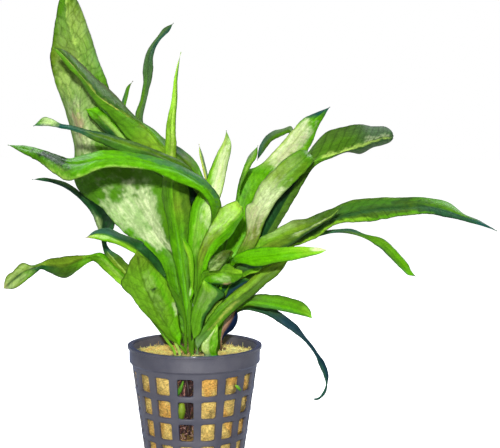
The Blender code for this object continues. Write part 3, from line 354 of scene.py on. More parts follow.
    "leaf_shade": ("leaf_dark", [
        (5, 8), (205.5, 313, 8.2),
        (221.5, 296, 8.5, 216.5, 291.5, 225.5, 300.5, 0, 0),
        (236, 286.5, 9, 231.5, 280, 240, 293.5, 0, 0),
        (246, 281, 9.5, 243.5, 277.5, 249, 285.5, 0, 0),
        (251, 279.5, 10),
    ]),
    "leaf_olive": ("leaf_mature", [
        (7.0, 11.8),
        (207, 328, 11.8, 205, 325.5, 209, 330, 0, 0),
        (212, 316, 11.9, 206, 311.5, 216, 319, 0, 0),
        (218, 306, 12, 213, 302.5, 221.5, 308.5, 0, 0),
        (222.5, 300, 12.1),
    ]),
    "leaf_yellow": ("leaf_pale", [
        (0.8, 13.8),
        (198.5, 342, 13.7, 194.6, 340.5, 202.6, 343.5, 0, 0),
        (210, 327.5, 13.5, 204.8, 324, 215.2, 331.5, 0, 0),
        (222, 313, 13.6, 216.5, 307.5, 227, 318, 0, 0),
        (235.5, 300.5, 13, 229.8, 294.5, 240.5, 306, -1, 0),
        (250, 289, 12.7, 245, 283, 254.5, 295, -1, 0),
        (265, 276, 12.4, 259.5, 270.5, 269.8, 281.5, -1, 0),
        (278, 267, 12.2, 273.5, 263.2, 281.5, 271, 0, 0),
        (288.5, 260.5, 12),
    ]),
    "leaf_right_low": ("leaf_bright", [
        (8.6, 3.4), (223, 320, 4.8),
        (236, 304, 5.8, 234.5, 301.5, 238, 306.5, 0, 0),
        (246, 301, 6.5, 245.5, 297, 246.5, 305.5, 0, 0),
        (262, 301.3, 7.5, 262, 293.8, 262, 308, -1, 0),
        (277, 303.3, 8.5, 277.5, 295, 276, 310, -1, 0),
        (290, 306.3, 9.5, 291, 298, 289, 312.5, -1, 0),
        (300, 309.8, 10.5, 303, 302.3, 299, 315, 0, 0),
        (308, 313.8, 11.5, 310.6, 310.5, 306.5, 316.8, 0, 0),
        (312.5, 319, 12),
    ]),
    "leaf_trailing": ("leaf_dark", [
        (9.2, -3.4), (226, 324, -2.5),
        (243, 308.5, -2, 242.3, 306, 244, 310.5, 0, 0),
        (258, 308, -1, 259, 304, 257, 312, 0, 0),
        (272, 313, 0, 274.5, 308.5, 270, 317, 0, 0),
        (284, 321.2, 1, 287, 317, 281.5, 324.5, 0, 0),
        (296, 330, 1.5, 298.5, 326.5, 293.5, 332.5, 0, 0),
        (304, 338, 2, 305.5, 336.4, 302.3, 339.3, 0, 0),
        (311, 346, 2, 312.5, 344.9, 309.5, 347.2, 0, 0),
        (316.5, 354, 2, 318, 353, 315, 355, 0, 0),
        (322, 364, 1.5, 325, 363, 318.8, 365, 0, 0),
        (326, 375, 1, 328.5, 374.3, 323.5, 375.7, 0, 0),
        (326.6, 385, 0, 328.8, 385, 324.2, 385, 0, 0),
        (324, 393, -1, 326.4, 394.5, 321.5, 391.5, 0, 0),
        (318.5, 398.5, -2, 319.5, 400.4, 317.4, 396.8, 0, 0),
        (311.5, 399, -4),
    ]),
    "leaf_dry": ("leaf_dry", [
        (9.6, 1.4),
        (222.5, 335.5, 2, 220, 333.5, 225.5, 337, 0, -1),
        (228.5, 325.5, 2.5, 225, 323.5, 235.5, 328.5, 0, -3),
        (233.5, 316.5, 2.5, 230, 314, 239, 318, 0, -3),
        (236.5, 309, 2.5),
    ]),
    "leaf_edge": ("leaf_dark", [
        (-5.6, 13.4), (175.5, 343, 10), (172, 328, 7), (160, 305, 2),
        (141, 287, -3, 138.5, 289, 143.5, 285, 0, 0),
        (126, 272, -6, 121, 274.5, 131, 268, 0, 0),
        (115, 260.5, -8, 109, 263, 121.5, 257.5, 0, 0),
        (106.5, 250, -9, 103.5, 251.5, 109.5, 248.5, 0, 0),
        (103, 238, -10, 100.8, 238.3, 105.2, 237.5, 0, 0),
        (100.5, 224, -11, 96.8, 226, 105.5, 221, -1, 0),
        (93.5, 209.5, -12.5, 90.5, 212, 97.5, 206, -1, 0),
        (81, 197, -15, 79, 199, 83.5, 194.5, -1, 0),
        (66, 185.5, -18, 65, 188, 67.5, 183, -1, 0),
        (52, 180.8, -21, 51.6, 182.8, 52.6, 178.8, 0, 0),
        (41, 179.2, -23.5, 40.9, 180.8, 41.3, 177.6, 0, 0),
        (32, 179.5, -25.5),
    ]),
    "leaf_small_left": ("leaf_bright", [
        (-3.4, -0.6), (183, 315, 1), (167, 287, 3.5),
        (151, 262.5, 6, 148.8, 264, 153.4, 260.7, 0, 0),
        (140, 252.5, 7.5, 137.6, 255, 141.8, 249.6, 0, 0),
        (130, 246.3, 8.5, 128, 250.3, 132.5, 243.5, 0, -2),
        (118, 239.8, 9.5, 114.5, 243.5, 120.5, 236.2, 0, -3),
        (106, 235, 10.5, 104, 241, 107.5, 230.3, 0, -3),
        (95, 234.5, 11, 94, 238.8, 96, 230, 0, -2),
        (85.5, 237.8, 11.5),
    ]),
    "leaf_twisted": ("leaf_mature", [
        (-7.4, 12.6), (168.5, 342.5, 10.3), (162, 333, 9), (145, 309, 8),
        (130, 288, 7.5, 127, 290.5, 133.5, 285.5, 0, 0),
        (118, 275.8, 8, 114, 279.3, 122, 272, 0, 0),
        (107, 265, 9.5, 102.5, 269, 111, 261.5, 0, 0),
        (98, 257.3, 11, 94.3, 261.7, 101.5, 252.8, 0, 0),
        (87.5, 257.3, 12.5, 88, 263, 88.5, 254.7, 1, 0),
        (75, 262.5, 14.5, 74, 274, 74.5, 255.5, -3, 0),
        (62, 266.5, 16.5, 63, 278.5, 60, 257.2, -3, 0),
        (50, 265.5, 18, 50, 273, 48, 259.2, -1, 1),
        (41, 266, 19, 40.8, 269.3, 41, 262.6, 1, -1),
        (35.5, 267.8, 19.7, 38.3, 271, 33, 265.2, 1, -1),
        (26, 270.8, 20, 31.5, 277, 22.5, 262.9, 0, 0),
        (17, 277, 20.5, 21.5, 284, 13, 270.6, 0, 0),
        (9, 283.8, 21, 13, 289.2, 5.2, 279, 0, 0),
        (3, 289, 21),
    ]),
    "leaf_left_front": ("leaf_bright", [
        (-3.4, 12.0), (181.5, 347, 12.8),
        (174.5, 339, 13.5, 169.5, 340, 181.5, 336, -1, 0),
        (168.5, 329.5, 14.5, 161, 330.5, 179.5, 324, -1, -1),
        (161.5, 318, 15.5, 150.5, 320, 177.8, 310.5, -1, -2),
        (154.5, 305.5, 17, 139, 307.5, 174, 298.5, -1, -2),
        (148.5, 294.5, 18.2, 130.5, 295.5, 167, 286, -2, -2),
        (143.8, 283.5, 19.4, 121, 285, 160, 276.5, -2, -2),
        (140.8, 272.5, 20.6, 125, 273.5, 150.5, 267.5, -1, -1),
        (138.6, 262, 22, 129.5, 263, 144.5, 260, 0, 0),
        (137, 250, 23.5),
    ]),
    "leaf_stub": ("leaf_silver", [
        (5.6, 16.9),
        (209, 350, 18, 201.3, 350, 216.8, 350, 0, 0),
        (209.5, 344, 18.3, 201.5, 344.5, 218.2, 343.5, 0, 0),
        (212, 335.5, 18.7, 208.5, 336.5, 218.4, 334.5, 0, 0),
        (215.5, 328, 19, 213.8, 329, 218.2, 328, 0, 0),
        (217.5, 323, 19.2),
    ]),
    "leaf_bud": ("leaf_bright", [
        (-1.8, 10.6), (189.5, 325, 13.2), (189.7, 305, 14.7),
        (191, 291.5, 15.3, 188.3, 292, 193.8, 291, 0, 0),
        (190.8, 284, 15.5),
    ]),
}

# ---- leaf colours, as linear red, green and blue
GREEN = {
    "bright": (0.105, 0.385, 0.002),
    "vivid": (0.150, 0.530, 0.003),
    "mid": (0.090, 0.265, 0.007),
    "olive": (0.150, 0.265, 0.014),
    "moss": (0.062, 0.150, 0.010),
    "lime": (0.260, 0.560, 0.022),
    "pale": (0.470, 0.680, 0.130),
    # silver is a painted sheen, the light's highlight on the wet blades; linen and cream are laid on as painted sheen
    # in many places too
    "silver": (0.800, 0.900, 0.520),
    "grey": (0.150, 0.250, 0.105),
    "dark": (0.016, 0.085, 0.018),
    "slate": (0.030, 0.110, 0.065),
    "teal": (0.010, 0.085, 0.070),
    "pink": (0.400, 0.230, 0.150),
    "brown": (0.150, 0.065, 0.035),
    "straw": (0.560, 0.600, 0.100),
    "black": (0.004, 0.014, 0.006),
    # black and navy are laid on mostly as painted shadow and shade
    "sage": (0.075, 0.165, 0.050),
    "linen": (0.400, 0.540, 0.190),
    "navy": (0.004, 0.014, 0.050),
    "leaf": (0.140, 0.345, 0.012),
    "fresh": (0.085, 0.300, 0.002),
    "deep": (0.008, 0.038, 0.055),
    "cream": (0.620, 0.480, 0.330),
}

# For each leaf: its colours left and right of the midrib at some stations (0 is the foot), the patches laid over them as
# (first station, last station, from, to across (-1 left margin, 1 right), colour, strength, mottling), and how it is
# modelled: veins (how deep and dark the net is), rib (over 1 light, under 1 dark), wave and cup in millimetres or shares.
# Many patches are painted light: silver, linen and cream stand mostly for painted sheen, and the painted shadows and
# shade are noted at their leaves.
LOOKS = {
    "leaf_tall": dict(
        stops=[(0, "mid", "mid"), (2, "fresh", "mid"), (4, "fresh", "mid"), (6, "bright", "mid"), (8, "bright", "mid"), (9, "mid", "mid"), (10.5, "mid", "mid"), (12, "olive", "mid"), (14, "mid", "olive"), (17, "mid", "mid")],
        patches=[
            # painted light: the silver, linen and cream patches and the wide pale ones are painted sheen; the moss band
            # from station 6.95 to 8.4 is a painted shadow cast by leaf_arching
            (4.6, 7.1, -0.55, 0.62, "silver", 0.9, 0.55), (6.95, 8.4, -1.0, 1.0, "moss", 0.7, 0.2), (4.4, 8.2, -0.03, 0.03, "mid", 0.5, 0.4), (5.9, 7.1, -0.95, -0.35, "silver", 0.7, 0.6), (5.5, 6.3, -0.4, 0.02, "fresh", 0.6, 0.8), (4.0, 4.9, -0.2, 0.3, "silver", 0.14, 0.8), (8.5, 11.2, -0.9, 0.6, "linen", 0.65, 0.5), (8.7, 10.2, -0.6, 0.2, "silver", 0.45, 0.6),
            (9.3, 10.1, -0.35, 0.10, "pink", 0.75, 0.4), (8.8, 9.5, -0.75, 0.1, "cream", 0.2, 0.5), (11.0, 14.5, -0.8, 0.85, "linen", 0.32, 0.6), (11.8, 15.0, 0.1, 0.7, "pale", 0.45, 0.7), (10.6, 17.0, -0.04, 0.04, "pale", 0.9, 0.1), (10.4, 11.4, -0.9, -0.3, "pale", 0.5, 0.8),
            (5.0, 8.2, 0.62, 1.0, "mid", 0.6, 0.2),
        ],
        grow=[(6.3, 7.6, 1, 4.0), (3.4, 5.6, 1, 1.6), (0.8, 1.6, -1, 1.2)], plain=[(3.6, 8.5, 0.25)], fibre=0.24, lateral=0.9, line=0.09, veins=0.62, rib=1.12, wave=0.5, cup=0.07),
    "leaf_arching": dict(
        stops=[(0, "mid", "mid"), (3, "moss", "moss"), (4.5, "bright", "mid"), (6, "bright", "mid"), (7, "bright", "bright"), (11, "bright", "bright"), (12.5, "fresh", "bright"), (15, "fresh", "fresh")],
        patches=[
            # painted light: the black patch is a painted shadow cast by the tip of leaf_strap, the slate and teal at
            # stations 4.6 to 7.4 are a painted blue-green sheen, and the pale strips along the lower margin are painted
            # highlights on its lit edge
            (10.9, 13.1, -0.5, 1.0, "black", 0.94, 0.12),
            (4.6, 7.4, 0.15, 1.0, "slate", 0.75, 0.2), (5.0, 6.6, -0.2, 0.3, "teal", 0.35, 0.3), (7.6, 12.2, -1.0, -0.86, "pale", 0.6, 0.6),
            (10.6, 12.2, -1.0, -0.5, "pale", 0.25, 0.7), (13.2, 14.5, 0.5, 1.0, "mid", 0.4, 0.2),
        ],
        veins=0.35, rib=0.96, wave=0.3, cup=0.10),
    "leaf_folded": dict(
        # painted light: the black and dark left side at stations 3 to 5.6 is painted shade under leaf_arching, the moss
        # right half from station 10 is partly painted shade on the half turned away from the light, the brown and pale
        # patches at stations 4.7 to 6.8 are a painted sheen, and the straw line by the midrib is a painted highlight
        stops=[(0, "mid", "mid"), (3, "dark", "moss"), (4.6, "black", "bright"), (5.6, "dark", "bright"), (6.4, "moss", "mid"), (7.2, "olive", "dark"), (8.5, "olive", "mid"), (10, "mid", "moss"), (12, "mid", "moss"), (14, "mid", "moss"), (17, "mid", "moss")],
        patches=[
            (5.2, 6.8, 0.0, 0.7, "brown", 0.35, 0.7), (4.7, 5.3, 0.1, 0.6, "pale", 0.5, 0.7), (7.0, 9.6, -0.6, 0.1, "lime", 0.35, 0.4),
            (10.6, 16.6, -0.16, 0.0, "straw", 0.75, 0.2), (10.6, 16.4, 0.0, 0.12, "dark", 0.8, 0.1), (10.5, 15.5, 0.3, 1.0, "sage", 0.5, 0.3), (10.5, 15.5, 0.65, 1.0, "brown", 0.35, 0.4),
        ],
        veins=0.5, rib=0.72, wave=0.35, cup=0.08),
    "leaf_strap": dict(
        stops=[(0, "mid", "mid"), (3, "moss", "moss"), (5, "moss", "moss"), (6, "mid", "moss"), (8, "moss", "dark"), (9.5, "slate", "dark"), (11, "teal", "teal"), (12, "lime", "lime"), (14, "teal", "slate")],
        # painted shade: the dark strip along its left margin at stations 5 to 8 is the shaded lower half, which turns
        # away from the light
        patches=[(11.2, 13.8, -1.0, -0.45, "teal", 0.9, 0.1), (11.4, 13.0, -0.9, 0.9, "silver", 0.55, 0.2), (5.0, 8.0, -1.0, -0.3, "dark", 0.5, 0.2), (5.0, 8.5, -0.1, 0.3, "olive", 0.5, 0.3)],
        veins=0.3, rib=1.2, wave=0.2, cup=0.12),
    "leaf_tongue": dict(
        stops=[(0, "mid", "mid"), (5, "moss", "mid"), (7, "dark", "bright"), (8, "mid", "bright"), (9, "bright", "vivid"), (10, "bright", "lime")],
        # painted shadow: the black strip along its left margin
        patches=[(5.5, 8.0, -0.1, 0.5, "pale", 0.5, 0.3), (6.0, 8.4, -1.0, -0.5, "black", 0.6, 0.1)],
        veins=0.3, rib=0.8, wave=0.2, cup=0.10),
    "leaf_lance": dict(
        stops=[(0, "mid", "mid"), (2, "bright", "mid"), (3.4, "fresh", "fresh"), (4.4, "mid", "olive"), (5.5, "mid", "mid"), (6.2, "lime", "olive"), (8, "lime", "lime"), (10, "lime", "mid"), (12, "pale", "grey")],
        patches=[(6.0, 10.5, 0.05, 0.35, "pale", 0.6, 0.2), (6.0, 9.5, -0.7, 0.1, "pale", 0.4, 0.8), (6.4, 7.4, -0.8, 0.8, "brown", 0.22, 0.9), (7.5, 11.0, 0.55, 1.0, "moss", 0.7, 0.2), (3.4, 5.6, 0.55, 1.0, "moss", 0.8, 0.2)],
        fibre=0.26, grow=[(3.7, 5.3, 1, 3.4)], veins=0.3, rib=1.35, wave=0.15, cup=0.10),
    "leaf_sickle": dict(
        stops=[(0, "moss", "moss"), (4, "sage", "sage"), (6, "mid", "sage"), (8, "sage", "sage"), (10, "sage", "slate"), (12, "sage", "slate")],
        patches=[(4.0, 6.5, -0.6, 0.4, "olive", 0.35, 0.5)],
        veins=0.3, rib=0.85, wave=0.3, cup=0.10),
    "leaf_sliver": dict(
        stops=[(0, "moss", "moss"), (4, "slate", "mid"), (6, "mid", "mid"), (7, "slate", "brown")],
        patches=[], veins=0.2, rib=1.1, wave=0.15, cup=0.10),
    "leaf_silver": dict(
        stops=[(0, "mid", "mid"), (2, "mid", "mid"), (3, "bright", "bright"), (4, "bright", "lime"), (6, "lime", "pale"), (8, "pale", "lime"), (9, "mid", "mid")],
        patches=[(3.9, 7.8, -0.2, 0.9, "silver", 0.8, 0.6), (2.6, 4.4, -0.5, 0.7, "pale", 0.35, 0.8), (5.2, 7.4, -0.6, 0.3, "silver", 0.5, 0.7), (3.0, 7.0, -1.0, -0.65, "bright", 0.6, 0.2), (5.8, 7.6, 0.75, 1.0, "bright", 0.6, 0.1)],
        fibre=0.34, cells=0.5, grow=[(2.6, 4.6, -1, 0.9)], veins=0.18, rib=0.9, wave=0.25, cup=0.08),
    "leaf_needle": dict(
        stops=[(0, "mid", "mid"), (4, "straw", "grey"), (6, "pale", "grey"), (7, "straw", "grey")],
        patches=[], veins=0.1, rib=1.1, wave=0.1, cup=0.10),
    "leaf_blunt": dict(
        stops=[(0, "mid", "mid"), (2, "mid", "bright"), (3.4, "olive", "bright"), (5, "lime", "bright"), (6.5, "lime", "bright"), (8, "lime", "mid")],
        patches=[(4.2, 6.8, -0.95, -0.1, "silver", 0.35, 0.85), (6.2, 7.6, -1.0, 0.2, "pale", 0.35, 0.5), (2.6, 4.4, -0.6, 0.1, "brown", 0.3, 0.8), (4.2, 7.8, 0.72, 1.0, "vivid", 0.7, 0.1), (7.4, 8.0, -0.9, 0.9, "brown", 0.3, 0.3)],
        fibre=0.32, veins=0.16, rib=0.95, wave=0.25, cup=0.05),
    "leaf_inner": dict(
        stops=[(0, "mid", "mid"), (2, "bright", "mid"), (4, "lime", "bright"), (5, "lime", "bright")],
        patches=[(2.0, 4.6, -0.2, 0.8, "lime", 0.4, 0.3)], veins=0.2, rib=1.1, wave=0.1, cup=0.10),
    "leaf_spear": dict(
        stops=[(0, "mid", "mid"), (4, "moss", "mid"), (5, "mid", "mid"), (6, "grey", "mid"), (7, "mid", "mid")],
        patches=[(4.4, 6.2, -0.3, 0.5, "pale", 0.3, 0.6)], veins=0.3, rib=1.15, wave=0.2, cup=0.10),
    "leaf_hook": dict(
        stops=[(0, "moss", "moss"), (4, "moss", "grey"), (6, "mid", "grey"), (8, "moss", "slate"), (10, "slate", "slate")],
        patches=[(5.4, 8.4, -0.2, 0.6, "grey", 0.4, 0.3)], veins=0.3, rib=0.85, wave=0.25, cup=0.12),
    "leaf_rear": dict(
        stops=[(0, "mid", "mid"), (3, "bright", "bright"), (4.4, "bright", "bright"), (5.6, "bright", "bright"), (6.6, "pale", "lime"), (8, "pale", "bright"), (9, "bright", "bright"), (9.6, "teal", "bright"), (10.6, "teal", "teal")],
        # painted sheen: the silver and pink patches at stations 6.2 to 8.8 are a whitish-pink sheen of the light
        patches=[(6.2, 8.8, -0.8, 0.55, "silver", 0.95, 0.5), (6.2, 8.0, -0.3, 0.5, "pink", 0.28, 0.7), (8.9, 10.6, -1.0, -0.55, "slate", 0.65, 0.1), (3.8, 5.2, 0.2, 0.8, "lime", 0.3, 0.8), (2.6, 5.2, -0.7, 0.5, "lime", 0.25, 0.95)],
        fibre=0.22, grow=[(1.4, 2.6, -1, 3.0)], cells=0.6, veins=0.45, rib=0.9, wave=0.45, cup=0.08),
    "leaf_front": dict(
        stops=[(0, "mid", "mid"), (2, "mid", "mid"), (3, "olive", "olive"), (3.6, "linen", "olive"), (4.6, "linen", "linen"), (5.6, "linen", "linen"), (6.8, "olive", "mid"), (9, "mid", "mid")],
        patches=[(3.2, 6.6, -0.85, 0.8, "silver", 0.50, 0.8), (4.6, 6.4, -0.5, 0.8, "silver", 0.5, 0.8), (2.4, 4.6, -0.8, 0.7, "pink", 0.34, 0.7), (6.0, 8.6, -0.9, 0.2, "linen", 0.32, 0.8), (6.6, 8.4, 0.1, 0.9, "olive", 0.4, 0.3)],
        fibre=0.26, lateral=1.0, cells=0.45, veins=0.5, rib=0.8, wave=0.35, cup=0.07),
    "leaf_curled": dict(
        # painted shade: the dark and black left side at stations 2.5 to 5, with its margin grown out, is the stalk in
        # the shade of leaf_front
        stops=[(0, "moss", "moss"), (2.5, "dark", "moss"), (5, "black", "moss"), (6, "moss", "moss"), (7.4, "moss", "mid"), (9, "moss", "moss"), (11, "sage", "sage"), (14, "sage", "sage")],
        patches=[(6.8, 9.5, -0.6, -0.05, "mid", 0.5, 0.5), (7.0, 13.4, -0.10, 0.10, "pale", 0.75, 0.1), (10.2, 12.9, -0.38, -0.12, "silver", 0.55, 0.75), (12.6, 13.8, -0.9, 0.2, "dark", 0.5, 0.4), (9.4, 12.6, 0.12, 0.3, "dark", 0.8, 0.2), (9.6, 12.6, 0.4, 1.0, "sage", 0.6, 0.3)],
        cells=0.3, grow=[(2.4, 5.2, -1, 2.4)], lateral=1.25, gap=3.4, veins=0.9, rib=1.3, wave=0.5, cup=0.09),
    "leaf_crease": dict(
        stops=[(0, "mid", "mid"), (2, "mid", "mid"), (3, "mid", "olive"), (5, "olive", "moss"), (6.2, "moss", "moss"), (8, "moss", "moss")],
        patches=[(4.4, 6.6, 0.12, 0.4, "silver", 0.6, 0.85), (3.6, 5.4, -1.0, -0.4, "linen", 0.5, 0.5), (4.8, 7.6, 0.35, 0.62, "pale", 0.6, 0.3), (3.0, 5.0, -0.9, 0.0, "lime", 0.35, 0.5), (3.4, 6.0, 0.75, 1.0, "dark", 0.6, 0.1)],
        cells=0.4, veins=0.6, rib=0.85, wave=0.45, cup=0.08),
    "leaf_long": dict(
        stops=[(0, "mid", "mid"), (2, "mid", "moss"), (3.5, "mid", "moss"), (5, "moss", "moss"), (6.5, "moss", "moss"), (8, "moss", "moss"), (9.4, "moss", "moss"), (10.4, "mid", "slate"), (12, "mid", "slate"), (13, "slate", "teal"), (14, "dark", "teal")],
        patches=[(2.4, 7.6, 0.66, 1.0, "lime", 0.95, 0.15), (7.0, 9.9, 0.74, 1.0, "bright", 0.9, 0.15), (3.0, 9.4, 0.90, 1.0, "pale", 0.3, 0.3), (4.5, 9.8, -0.05, 0.40, "dark", 0.7, 0.2), (5.8, 9.6, -0.8, 0.3, "dark", 0.6, 0.4), (4.4, 8.6, -1.0, -0.7, "lime", 0.35, 0.6), (6.0, 8.6, -0.75, -0.2, "bright", 0.35, 0.4), (9.6, 12.0, -1.0, -0.4, "bright", 0.7, 0.3), (9.8, 12.6, 0.25, 1.0, "dark", 0.7, 0.2)],
        cells=0.35, lateral=1.1, gap=4.2, veins=0.8, rib=0.75, wave=0.4, cup=0.10),
    "leaf_droop": dict(
        stops=[(0, "moss", "moss"), (3, "mid", "mid"), (4, "dark", "slate"), (5.2, "slate", "moss"), (6.4, "mid", "mid"), (9, "bright", "mid"), (11, "bright", "bright"), (12, "mid", "moss")],
        patches=[(6.4, 11.0, -0.9, -0.2, "olive", 0.4, 0.6), (7.0, 11.0, 0.6, 1.0, "slate", 0.4, 0.3)],
        cells=0.4, veins=0.35, rib=0.85, wave=0.35, cup=0.08),
    "leaf_green": dict(
        stops=[(0, "mid", "mid"), (3, "bright", "bright"), (5, "bright", "bright"), (7, "bright", "bright"), (9, "lime", "vivid"), (11, "lime", "lime")],
        patches=[(8.2, 10.6, -1.0, 0.7, "lime", 0.85, 0.3), (9.0, 11.0, -1.0, 0.2, "silver", 0.85, 0.3), (6.0, 10.0, 0.7, 1.0, "mid", 0.5, 0.2)],
        veins=0.22, rib=0.94, wave=0.35, cup=0.10),
    "leaf_under": dict(
        stops=[(0, "mid", "mid"), (3, "moss", "mid"), (5, "slate", "mid"), (6, "slate", "slate")],
        patches=[(2.6, 5.6, 0.6, 1.0, "lime", 0.8, 0.1)], grow=[(3.2, 4.0, -1, 1.8)], veins=0.3, rib=0.9, wave=0.3, cup=0.08),
    "leaf_ragged": dict(
        stops=[(0, "mid", "mid"), (2, "mid", "bright"), (3, "mid", "bright"), (4, "mid", "mid"), (5, "lime", "mid")],
        patches=[(2.5, 4.6, -0.4, 0.4, "lime", 0.4, 0.6), (2.0, 5.8, 0.82, 1.0, "dark", 0.9, 0.1), (3.7, 4.3, 0.72, 0.95, "pink", 0.8, 0.2), (3.0, 4.2, 0.2, 0.7, "silver", 0.3, 0.9)],
        grow=[(1.6, 2.4, 1, 0.7)], veins=0.4, rib=0.8, wave=0.5, cup=0.10),
    "leaf_young": dict(
        stops=[(0, "mid", "mid"), (3, "moss", "moss"), (4, "moss", "olive"), (6, "moss", "moss"), (8, "olive", "moss")],
        patches=[(5.6, 8.6, -0.8, 0.7, "linen", 0.7, 0.98), (4.5, 6.2, -0.5, 0.5, "brown", 0.3, 0.8)],
        veins=0.6, rib=0.7, wave=0.25, cup=0.08),
    "leaf_lower": dict(
        stops=[(0, "mid", "mid"), (3, "mid", "mid"), (4, "mid", "mid"), (6, "mid", "mid"), (7, "lime", "bright")],
        # painted shadow: the dark patch over the right side at stations 2.8 to 7.4
        patches=[(4.0, 6.4, -0.6, 0.6, "linen", 0.35, 0.7), (6.0, 7.0, -0.6, 0.2, "lime", 0.4, 0.2), (2.8, 7.4, 0.5, 1.0, "dark", 0.85, 0.2)],
        grow=[(2.6, 3.8, -1, 0.6)], veins=0.12, rib=0.95, wave=0.12, cup=0.12),
    "leaf_shade": dict(
        stops=[(0, "moss", "moss"), (2, "dark", "deep"), (4, "dark", "deep"), (5, "mid", "dark")],
        patches=[(2.4, 5.0, -1.0, -0.62, "mid", 0.9, 0.1)], veins=0.3, rib=0.9, wave=0.2, cup=0.10),
    "leaf_olive": dict(
        stops=[(0, "moss", "moss"), (1, "mid", "olive"), (3, "olive", "moss"), (5, "olive", "moss")],
        patches=[(0.8, 4.6, -0.12, 0.12, "lime", 0.9, 0.1)], veins=0.3, rib=1.2, wave=0.15, cup=0.08),
    "leaf_yellow": dict(
        stops=[(0, "grey", "grey"), (2, "mid", "mid"), (3, "mid", "mid"), (5, "olive", "moss"), (7, "olive", "olive"), (8, "lime", "mid")],
        patches=[(2.2, 4.0, 0.05, 0.42, "straw", 0.65, 0.2), (4.0, 6.4, -0.65, -0.05, "lime", 0.5, 0.5), (5.0, 8.0, -1.0, 1.0, "moss", 0.4, 0.9), (2.6, 7.4, 0.15, 1.0, "moss", 0.6, 0.3)],
        fibre=0.3, veins=0.2, rib=0.7, wave=0.15, cup=0.10),
    "leaf_right_low": dict(
        stops=[(0, "mid", "mid"), (3, "moss", "mid"), (5, "mid", "bright"), (7, "mid", "bright"), (9, "bright", "mid")],
        patches=[(3.5, 7.5, 0.5, 1.0, "slate", 0.4, 0.3), (3.8, 7.6, -0.6, 0.2, "bright", 0.5, 0.4), (7.2, 8.8, -0.8, 0.4, "lime", 0.5, 0.3)],
        cells=0.4, grow=[(1.4, 2.6, 1, 1.2)], veins=0.4, rib=0.8, wave=0.4, cup=0.10),
    "leaf_trailing": dict(
        stops=[(0, "moss", "moss"), (3, "moss", "dark"), (5, "deep", "deep"), (9, "deep", "deep"), (12, "deep", "slate"), (15, "dark", "teal")],
        patches=[(5.0, 12.0, 0.5, 1.0, "slate", 0.5, 0.4)], grow=[(11.6, 14.0, -1, -0.5), (11.6, 14.0, 1, -0.5)], veins=0.2, rib=1.15, wave=0.25, cup=0.12),
    "leaf_dry": dict(
        # painted shade: the navy right half stands for the dark shade beside and behind the dry stalk
        stops=[(0, "brown", "navy"), (1, "pink", "navy"), (2, "pink", "navy"), (3, "pink", "navy"), (4, "brown", "navy")],
        patches=[(0.8, 3.8, -1.0, -0.45, "cream", 0.95, 0.4), (0.6, 4.0, -0.40, -0.05, "brown", 0.6, 0.8)],
        grow=[(1.2, 3.6, -1, 1.3), (1.0, 3.2, 1, -0.7)], veins=0.5, rib=0.7, wave=0.3, cup=0.16),
    "leaf_edge": dict(
        stops=[(0, "pale", "pale"), (2, "lime", "lime"), (3, "mid", "mid"), (4, "olive", "olive"), (6, "olive", "moss"), (7, "dark", "slate"), (8.5, "grey", "dark"), (9.4, "grey", "dark"), (10.2, "dark", "dark"), (12, "slate", "sage"), (15, "dark", "dark")],
        # painted shade: the black patch on the right side at stations 8.4 to 11, with that margin grown out, fills the
        # shade beside leaf_tall's edge
        patches=[(4.4, 6.8, -0.12, 0.10, "pale", 0.7, 0.2), (4.4, 6.8, -1.0, -0.55, "dark", 0.5, 0.2), (8.2, 9.5, -0.9, 0.1, "linen", 0.6, 0.4), (8.4, 11.0, 0.25, 1.0, "black", 0.85, 0.1)],
        grow=[(8.2, 10.6, 1, 4.0)], veins=0.35, rib=1.0, wave=0.25, cup=0.10),
    "leaf_small_left": dict(
        # partly painted shade: the dark and slate right side, grown out at stations 1.4 to 7.2, is the blade's dark
        # upper edge and also fills the dark gap beside leaf_edge
        stops=[(0, "mid", "mid"), (3, "mid", "dark"), (5, "lime", "dark"), (7, "vivid", "slate"), (8, "lime", "slate"), (9, "pink", "slate")],
        patches=[(5.4, 8.4, -0.9, -0.15, "lime", 0.6, 0.4), (6.2, 8.2, -0.7, -0.2, "silver", 0.4, 0.7)],
        grow=[(1.4, 5.6, 1, 1.9), (4.6, 7.2, 1, 3.0), (1.2, 3.6, -1, 1.0)], veins=0.3, rib=0.7, wave=0.2, cup=0.10),
    "leaf_twisted": dict(
        stops=[(0, "lime", "lime"), (2, "mid", "mid"), (4, "lime", "mid"), (7, "mid", "bright"), (8.6, "mid", "olive"), (10, "moss", "olive"), (11.6, "dark", "olive"), (13, "dark", "moss"), (14, "mid", "olive"), (15.5, "olive", "olive"), (16.6, "grey", "olive"), (17.5, "grey", "grey")],
        patches=[(4.0, 7.0, -0.1, 0.5, "pale", 0.45, 0.5), (13.8, 16.9, -0.8, 0.85, "linen", 0.5, 0.5), (13.8, 16.6, -0.1, 0.08, "dark", 0.8, 0.1), (8.8, 11.8, 0.25, 0.85, "olive", 0.35, 0.5), (16.4, 17.6, -0.8, 0.8, "pink", 0.4, 0.3)],
        veins=0.4, rib=0.8, wave=0.3, cup=0.08),
    "leaf_left_front": dict(
        stops=[(0, "mid", "mid"), (2, "mid", "bright"), (4, "leaf", "leaf"), (6, "leaf", "leaf"), (8, "leaf", "leaf"), (10, "olive", "olive")],
        patches=[(2.0, 8.6, -0.9, -0.15, "mid", 0.30, 0.8), (2.5, 7.6, 0.62, 1.0, "bright", 0.85, 0.15), (3.0, 7.4, 0.80, 1.0, "lime", 0.6, 0.5), (4.2, 8.2, 0.05, 0.5, "linen", 0.30, 0.8), (6.1, 6.5, 0.30, 0.46, "black", 0.9, 0.0), (2.6, 6.2, 0.22, 0.32, "moss", 0.75, 0.1), (3.6, 4.6, 0.86, 1.0, "silver", 0.7, 0.6)],
        grow=[(6.2, 9.0, 1, 1.1)], veins=0.5, rib=0.62, wave=0.35, cup=0.06),
    "leaf_stub": dict(
